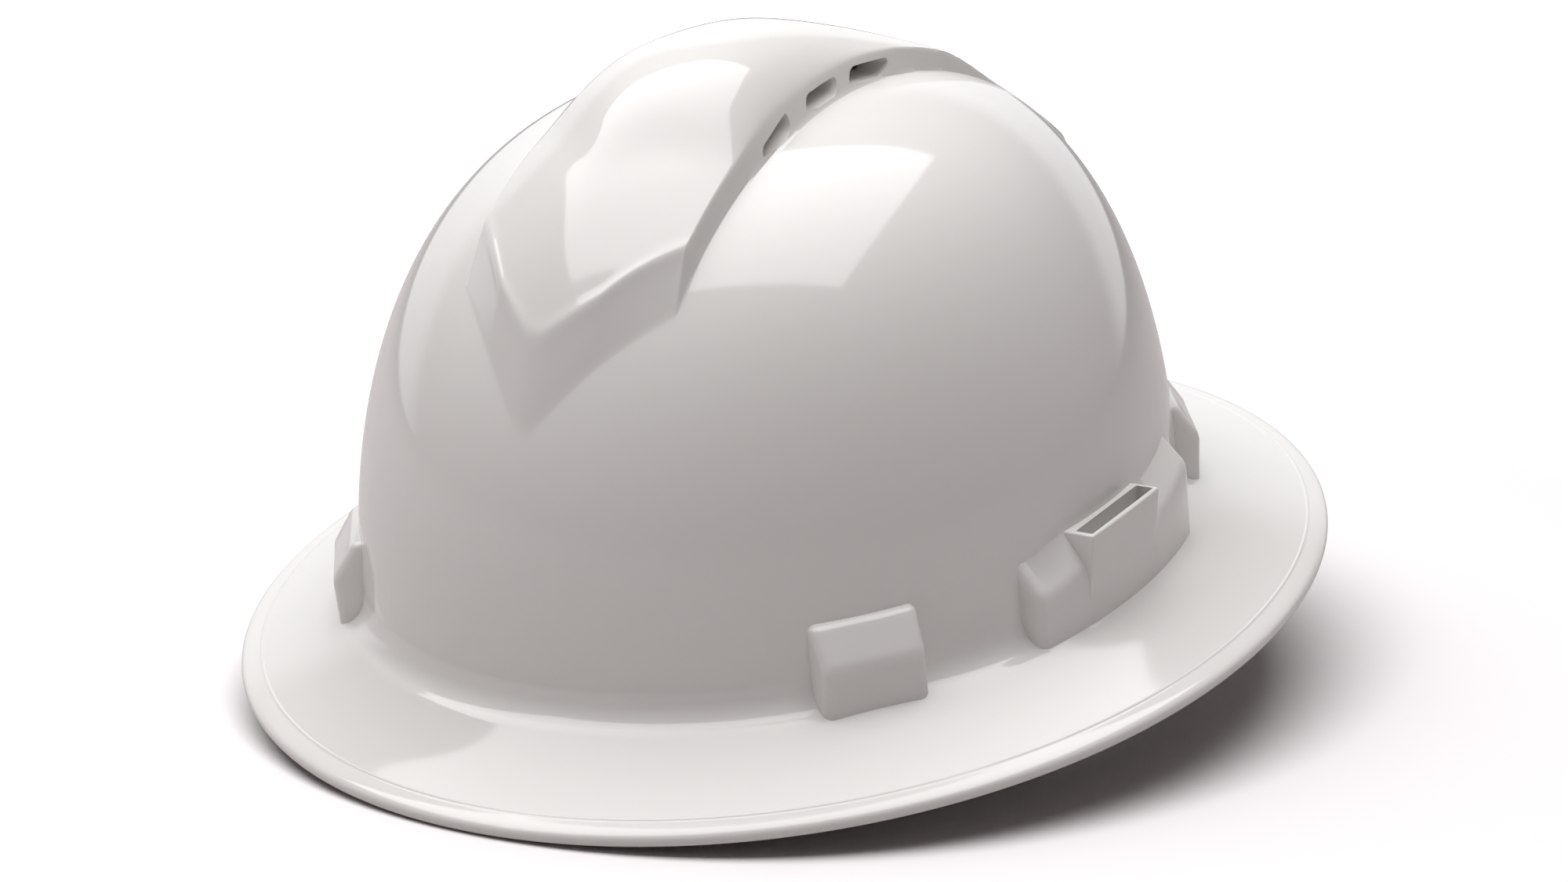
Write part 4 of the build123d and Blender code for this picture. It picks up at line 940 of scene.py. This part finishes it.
def stitches(name, rows, first, last):
    """Rows of short raised stitches on a strap's inner and outer face."""
    lengths = np.array([0.0] + [(b[0] - a[0]).length for a, b in zip(rows, rows[1:])]).cumsum()
    places, across, along = (np.array([row[i] for row in rows]) for i in range(3))

    def at(length, table):
        return Vector([np.interp(length, lengths, table[:, i]) for i in range(3)])

    verts, faces = [], []
    for sign in (-1, 1):
        for offset in SEAM_PLACES:
            s = first
            while s + SEAM_RUN < last:
                base = len(verts)
                for k in range(5):
                    t = s + SEAM_RUN * k / 4
                    ac, al = at(t, across).normalized(), at(t, along).normalized()
                    n = al.cross(ac) * sign
                    p = at(t, places) + ac * offset + n * (SEAM_LIFT + 0.16 * math.sin(math.pi * k / 4))
                    for a in range(6):
                        q = TAU * a / 6
                        verts.append(p + ac * THREAD_RADIUS * math.cos(q) + n * THREAD_RADIUS * math.sin(q))
                faces += ring_faces(5, 6, base)
                s += SEAM_GAP
    return to_object(name, verts, faces)


for name, side, apex in (("crown_strap_a", 1, 98.0), ("crown_strap_b", -1, 99.8)):
    rows = strap_line(side, apex)
    strap = strap_mesh(name + "_webbing", rows)
    paint(strap, "webbing")
    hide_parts(name)
    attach(strap, "hat")
    total = sum((b[0] - a[0]).length for a, b in zip(rows, rows[1:]))
    for end, (lo, hi) in enumerate(((SEAM_START, SEAM_END), (total - SEAM_END, total - SEAM_START))):
        seam = stitches(f"{name}_seam_{end}", rows, lo, hi)
        paint(seam, "thread")
        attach(seam, "hat")


# ---------- pads ----------

# Each pad is measured along a curve of this radius; u runs along it and v upwards, in millimetres
BROW_RADIUS, BROW_LONG, BROW_WIDE = 93.0, 101.65, 79.65
BROW_CENTRE_Y, BROW_LEVEL = -10.3, 15.0
BROW_HALF_U, BROW_HALF_V, BROW_DEPTH = math.radians(42.0) * BROW_RADIUS, 16.2, 3.5
BROW_SEAMS = (-51, -34, -17, 0, 17, 34, 51)
NAPE_RADIUS, NAPE_WALL, NAPE_CENTRE_Y, NAPE_LEVEL = 71.0, 72.65, 19.0, -19.8
NAPE_HALF_U, NAPE_HALF_V, NAPE_DEPTH = math.radians(31.0) * NAPE_RADIUS, 12.0, 2.95
NAPE_SEAMS = (-24, -12, 0, 12, 24)
PAD_RIM, PAD_EDGE = 3.2, 0.35


def brow_place(u, v, depth):
    """A point of the brow pad, at a depth in from the headband."""
    angle = u / BROW_RADIUS
    x = (BROW_WIDE - depth) * math.sin(angle)
    return Vector((x, BROW_CENTRE_Y - (BROW_LONG - depth) * math.cos(angle), BROW_LEVEL + v))


def nape_place(u, v, depth):
    """A point of the nape pad, at a depth in from the ratchet's housing."""
    angle = u / NAPE_RADIUS
    r = NAPE_WALL - depth
    return Vector((r * math.sin(angle), NAPE_CENTRE_Y + r * math.cos(angle), NAPE_LEVEL + v))


def crowned(u, v, seams, half_u, half_v, depth):
    """Depth of a stitched cushion: round at its rim, drawn in along its seams, with soft wrinkles."""
    eu = np.clip((half_u - abs(u)) / PAD_RIM, 0, 1)
    ev = np.clip((half_v - abs(v)) / PAD_RIM, 0, 1)
    rim = (1 - (1 - eu) ** 2.2) ** 0.5 * (1 - (1 - ev) ** 2.2) ** 0.5
    value = PAD_EDGE + (depth - PAD_EDGE) * rim
    for s in seams:
        d = abs(u - s)
        value -= 0.62 * (depth - 0.6) * math.exp(-((d / 1.15) ** 2)) * rim
        value += 0.10 * depth * math.exp(-(((d - 4.0) / 2.5) ** 2)) * rim
    value += 0.16 * noise.noise(Vector((u * 0.17, v * 0.13, depth))) * rim
    value += 0.09 * noise.noise(Vector((u * 0.5, v * 0.16, 3.1))) * rim
    return max(0.3, min(value, depth * 1.12))


def pad_mesh(name, place, seams, half_u, half_v, depth, nu, nv):
    """A cushion with its back on a curved wall."""
    grid = [(u, v) for u in np.linspace(-half_u, half_u, nu) for v in np.linspace(-half_v, half_v, nv)]
    verts = [place(u, v, 0.0) for u, v in grid]
    verts += [place(u, v, crowned(u, v, seams, half_u, half_v, depth)) for u, v in grid]
    off = nu * nv
    ids = np.arange(off).reshape(nu, nv)
    a, b, c, d = ids[:-1, :-1], ids[1:, :-1], ids[1:, 1:], ids[:-1, 1:]
    back, front = np.stack([a, b, c, d], -1), np.stack([a, d, c, b], -1) + off
    faces = np.stack([back, front], 2).reshape(-1, 4).tolist()
    rim = perimeter(ids.T)
    return to_object(name, verts, faces + strip(rim, rim + off))


pad = pad_mesh("brow_pad_cover", brow_place, BROW_SEAMS, BROW_HALF_U, BROW_HALF_V, BROW_DEPTH, 230, 60)
paint(pad, "knit")
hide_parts("brow_pad")
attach(pad, "hat")

pad = pad_mesh("nape_pad_cover", nape_place, NAPE_SEAMS, NAPE_HALF_U, NAPE_HALF_V, NAPE_DEPTH, 150, 46)
paint(pad, "knit")
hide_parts("nape_pad")
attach(pad, "carriage")


# ---------- nape arms, which run from the headband down to the ratchet ----------

ARM_LEFT_RADIUS, ARM_RIGHT_RADIUS, ARM_WIDE, ARM_MIDDLE = 77.0, 75.3, 82.1, 0.65
ARM_CENTRE_Y, ARM_START_Y, ARM_HALF, ARM_HALF_THICK = -8.0, -14.0, 8.0, 0.64
BAND_LEVEL, ARM_FALL = 9.0, 28.8


def arm_line(side):
    """Plan points of an arm's middle: an ellipse along the headband, then the ratchet's circle."""
    radius = (ARM_LEFT_RADIUS if side > 0 else ARM_RIGHT_RADIUS) + ARM_MIDDLE
    wide = ARM_WIDE + ARM_MIDDLE

    def nape(degrees):
        t = math.radians(degrees)
        return Vector((radius * math.sin(t), NAPE_CENTRE_Y + radius * math.cos(t)))

    meet = nape(40.0)
    long = (meet.y - ARM_CENTRE_Y) / math.sqrt(1 - (meet.x / wide) ** 2)
    first, last = math.asin(ARM_START_Y / long), math.acos(meet.x / wide)
    points = []
    for k in range(10):
        t = first + (last - first) * k / 9
        points.append((wide * math.cos(t), ARM_CENTRE_Y + long * math.sin(t)))
    points += [tuple(nape(degrees)) for degrees in (37.4, 35.4, 33.4)]
    xs, ys = np.array(points).T
    chord = np.concatenate([[0], np.cumsum(np.hypot(np.diff(xs), np.diff(ys)))])
    s = np.linspace(0, chord[-1], 150)
    return s, smooth_spline(chord, xs, s), smooth_spline(chord, ys, s)


def arm_mesh(name, side):
    """An arm: a rounded strip that falls from the headband's level to the ratchet's."""
    s, px, py = arm_line(side)
    tx, ty = np.gradient(px), np.gradient(py)
    n = np.hypot(tx, ty)
    nx, ny = ty / n, -tx / n
    # a little over a third of the fall is eased, the rest is even
    fall = 0.35 * ease(np.clip((py - 3.0) / 66.0, 0, 1)) + 0.65 * np.clip((py - 6.0) / 60.0, 0, 1)
    level = BAND_LEVEL - ARM_FALL * fall
    section = []
    for k in range(16):
        cu, cv = math.cos(TAU * k / 16), math.sin(TAU * k / 16)
        section.append((math.copysign(abs(cu) ** 0.35, cu) * ARM_HALF_THICK, math.copysign(abs(cv) ** 0.22, cv)))
    loops = []
    for i in range(len(s)):
        near = min(s[i], 8.0) / 8.0
        half = ARM_HALF * math.sqrt(max(1 - (1 - near) ** 2, 0.02))
        half *= 1 - 0.22 * math.exp(-(((s[i] - 70) / 34) ** 2))
        loops.append([(side * (px[i] + nx[i] * u), py[i] + ny[i] * u, level[i] + v * half) for u, v in section])
    return loft(name, loops, True)


for side, name in ((1, "nape_arm_left"), (-1, "nape_arm_right")):
    arm = arm_mesh(name + "_strap", side)
    soft_edges(arm, 50)
    paint(arm, "arm")
    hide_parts(name)
    end = STAND @ Vector((0, 76.0, -19.8))
    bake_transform(arm)


# ---------- stage, light and camera, in metres ----------

VIEW = math.radians(32.445)
ELEVATION = math.radians(14.759)
RIGHT = Vector((math.cos(VIEW), math.sin(VIEW), 0))
AWAY = Vector((-math.sin(VIEW), math.cos(VIEW), 0))
# the floor's reach to each side, to the camera and away from it, and its depth under the hat
FLOOR_SIDE, FLOOR_NEAR, FLOOR_FAR, FLOOR_DEPTH = 3.0, 1.3, 5.0, 0.0004
# the floor's colours to light and to the camera, and how far out its glow begins and is full
FLOOR_LIT, FLOOR_SEEN = (0.56, 0.53, 0.53), (0.93, 0.91, 0.915)
GLOW_START, GLOW_FULL, FLOOR_GLOW = 0.26, 0.7, 1.0
# the surroundings in reflections: bright round one direction, dim elsewhere; and as soft light
BRIGHT_WAY, BRIGHT_START, BRIGHT_FULL = (-0.629, 0.777, -0.5), 0.5, 0.68
WORLD_DIM, WORLD_BRIGHT, WORLD_SOFT = (0.23, 0.205, 0.205), (0.95, 0.95, 0.96), (0.09, 0.074, 0.074)
# one large box overhead, a little to the left
BOX_SIZE, BOX_POWER = (2.1, 1.55), 34.0
BOX_PLACE = RIGHT * -0.29 + AWAY * 0.07 + UP * 1.4
# focal length, frame and the hat origin's place in it, in pixels, then distance and sensor
FOCAL, FRAME_WIDTH, FRAME_HEIGHT = 5985.9, 2000, 1125
ORIGIN_X, ORIGIN_Y = 1026.97, 738.66
DISTANCE, SENSOR = 1.2, 36.0


def floor_material():
    """A pale floor that fades to white with distance, and lets the camera through from below."""
    mat = bpy.data.materials.new("floor_white")
    mat.use_nodes = True
    tree = mat.node_tree
    bsdf = tree.nodes["Principled BSDF"]
    bsdf.inputs["Roughness"].default_value = 0.8
    bsdf.inputs["Specular IOR Level"].default_value = 0.1
    bsdf.inputs["Emission Color"].default_value = (1, 1, 1, 1)
    camera_ray = tree.nodes.new("ShaderNodeLightPath").outputs["Is Camera Ray"]
    tree.links.new(mix_colours(tree, camera_ray, FLOOR_LIT, FLOOR_SEEN), bsdf.inputs["Base Color"])
    coord = tree.nodes.new("ShaderNodeTexCoord")
    far = tree.nodes.new("ShaderNodeVectorMath")
    far.operation = "LENGTH"
    tree.links.new(coord.outputs["Object"], far.inputs[0])
    fade = spread(tree, far.outputs["Value"], 0.0, FLOOR_GLOW, GLOW_START, GLOW_FULL, "SMOOTHSTEP")
    tree.links.new(maths(tree, "MULTIPLY", camera_ray, fade), bsdf.inputs["Emission Strength"])
    below = tree.nodes.new("ShaderNodeNewGeometry").outputs["Backfacing"]
    pick = tree.nodes.new("ShaderNodeMixShader")
    tree.links.new(maths(tree, "MULTIPLY", below, camera_ray), pick.inputs[0])
    tree.links.new(bsdf.outputs[0], pick.inputs[1])
    tree.links.new(tree.nodes.new("ShaderNodeBsdfTransparent").outputs[0], pick.inputs[2])
    tree.links.new(pick.outputs[0], tree.nodes["Material Output"].inputs["Surface"])
    return mat


def floor_plane():
    """A flat sheet lined up with the camera, which stands in front of the hat's left side."""
    mesh = bpy.data.meshes.new("floor")
    sheet = (
        (-FLOOR_SIDE, -FLOOR_NEAR), (FLOOR_SIDE, -FLOOR_NEAR), (FLOOR_SIDE, FLOOR_FAR), (-FLOOR_SIDE, FLOOR_FAR),
    )
    mesh.from_pydata([RIGHT * r + AWAY * f - UP * FLOOR_DEPTH for r, f in sheet], [], [(0, 1, 2, 3)])
    obj = linked(bpy.data.objects.new("floor", mesh))
    obj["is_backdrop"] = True
    obj.data.materials.append(floor_material())


def studio_world():
    """White to the camera; for light and reflections, pale behind the hat and dim in front of it."""
    world = bpy.data.worlds.new("studio")
    bpy.context.scene.world = world
    world.use_nodes = True
    tree = world.node_tree
    coord = tree.nodes.new("ShaderNodeTexCoord")
    dot = tree.nodes.new("ShaderNodeVectorMath")
    dot.operation = "DOT_PRODUCT"
    dot.inputs[1].default_value = BRIGHT_WAY
    tree.links.new(coord.outputs["Generated"], dot.inputs[0])
    bright = spread(tree, dot.outputs["Value"], 0.0, 1.0, BRIGHT_START, BRIGHT_FULL, "SMOOTHSTEP")
    path = tree.nodes.new("ShaderNodeLightPath")
    mirrored = mix_colours(tree, bright, WORLD_DIM, WORLD_BRIGHT)
    lit = mix_colours(tree, path.outputs["Is Glossy Ray"], WORLD_SOFT, mirrored)
    seen = mix_colours(tree, path.outputs["Is Camera Ray"], lit, (1, 1, 1))
    background = tree.nodes["Background"]
    background.inputs["Strength"].default_value = 1.0
    tree.links.new(seen, background.inputs["Color"])


def placed(obj, across, along, back, place):
    """Puts an object in a place, with its X, Y and Z pointing across, along and back."""
    obj.matrix_world = Matrix((across, along, back)).transposed().to_4x4()
    obj.matrix_world.translation = place
    return linked(obj)


floor_plane()
studio_world()

light = bpy.data.lights.new("overhead", "AREA")
light.shape = "RECTANGLE"
light.size, light.size_y = BOX_SIZE
light.energy = BOX_POWER
placed(bpy.data.objects.new("overhead", light), RIGHT, UP.cross(RIGHT), UP, BOX_PLACE)

back = -AWAY * math.cos(ELEVATION) + UP * math.sin(ELEVATION)
up = back.cross(RIGHT)
shift_x, shift_y = (ORIGIN_X - FRAME_WIDTH / 2) / FOCAL, -(ORIGIN_Y - FRAME_HEIGHT / 2) / FOCAL
eye = UP * DROP * MM + (back - RIGHT * shift_x - up * shift_y) * DISTANCE
camera = bpy.data.cameras.new("camera")
camera.sensor_width = SENSOR
camera.lens = FOCAL / FRAME_WIDTH * SENSOR
camera.clip_start = 0.05
bpy.context.scene.camera = placed(bpy.data.objects.new("camera", camera), RIGHT, up, back, eye)
bpy.context.scene.view_settings.view_transform = "Standard"

lo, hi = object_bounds()
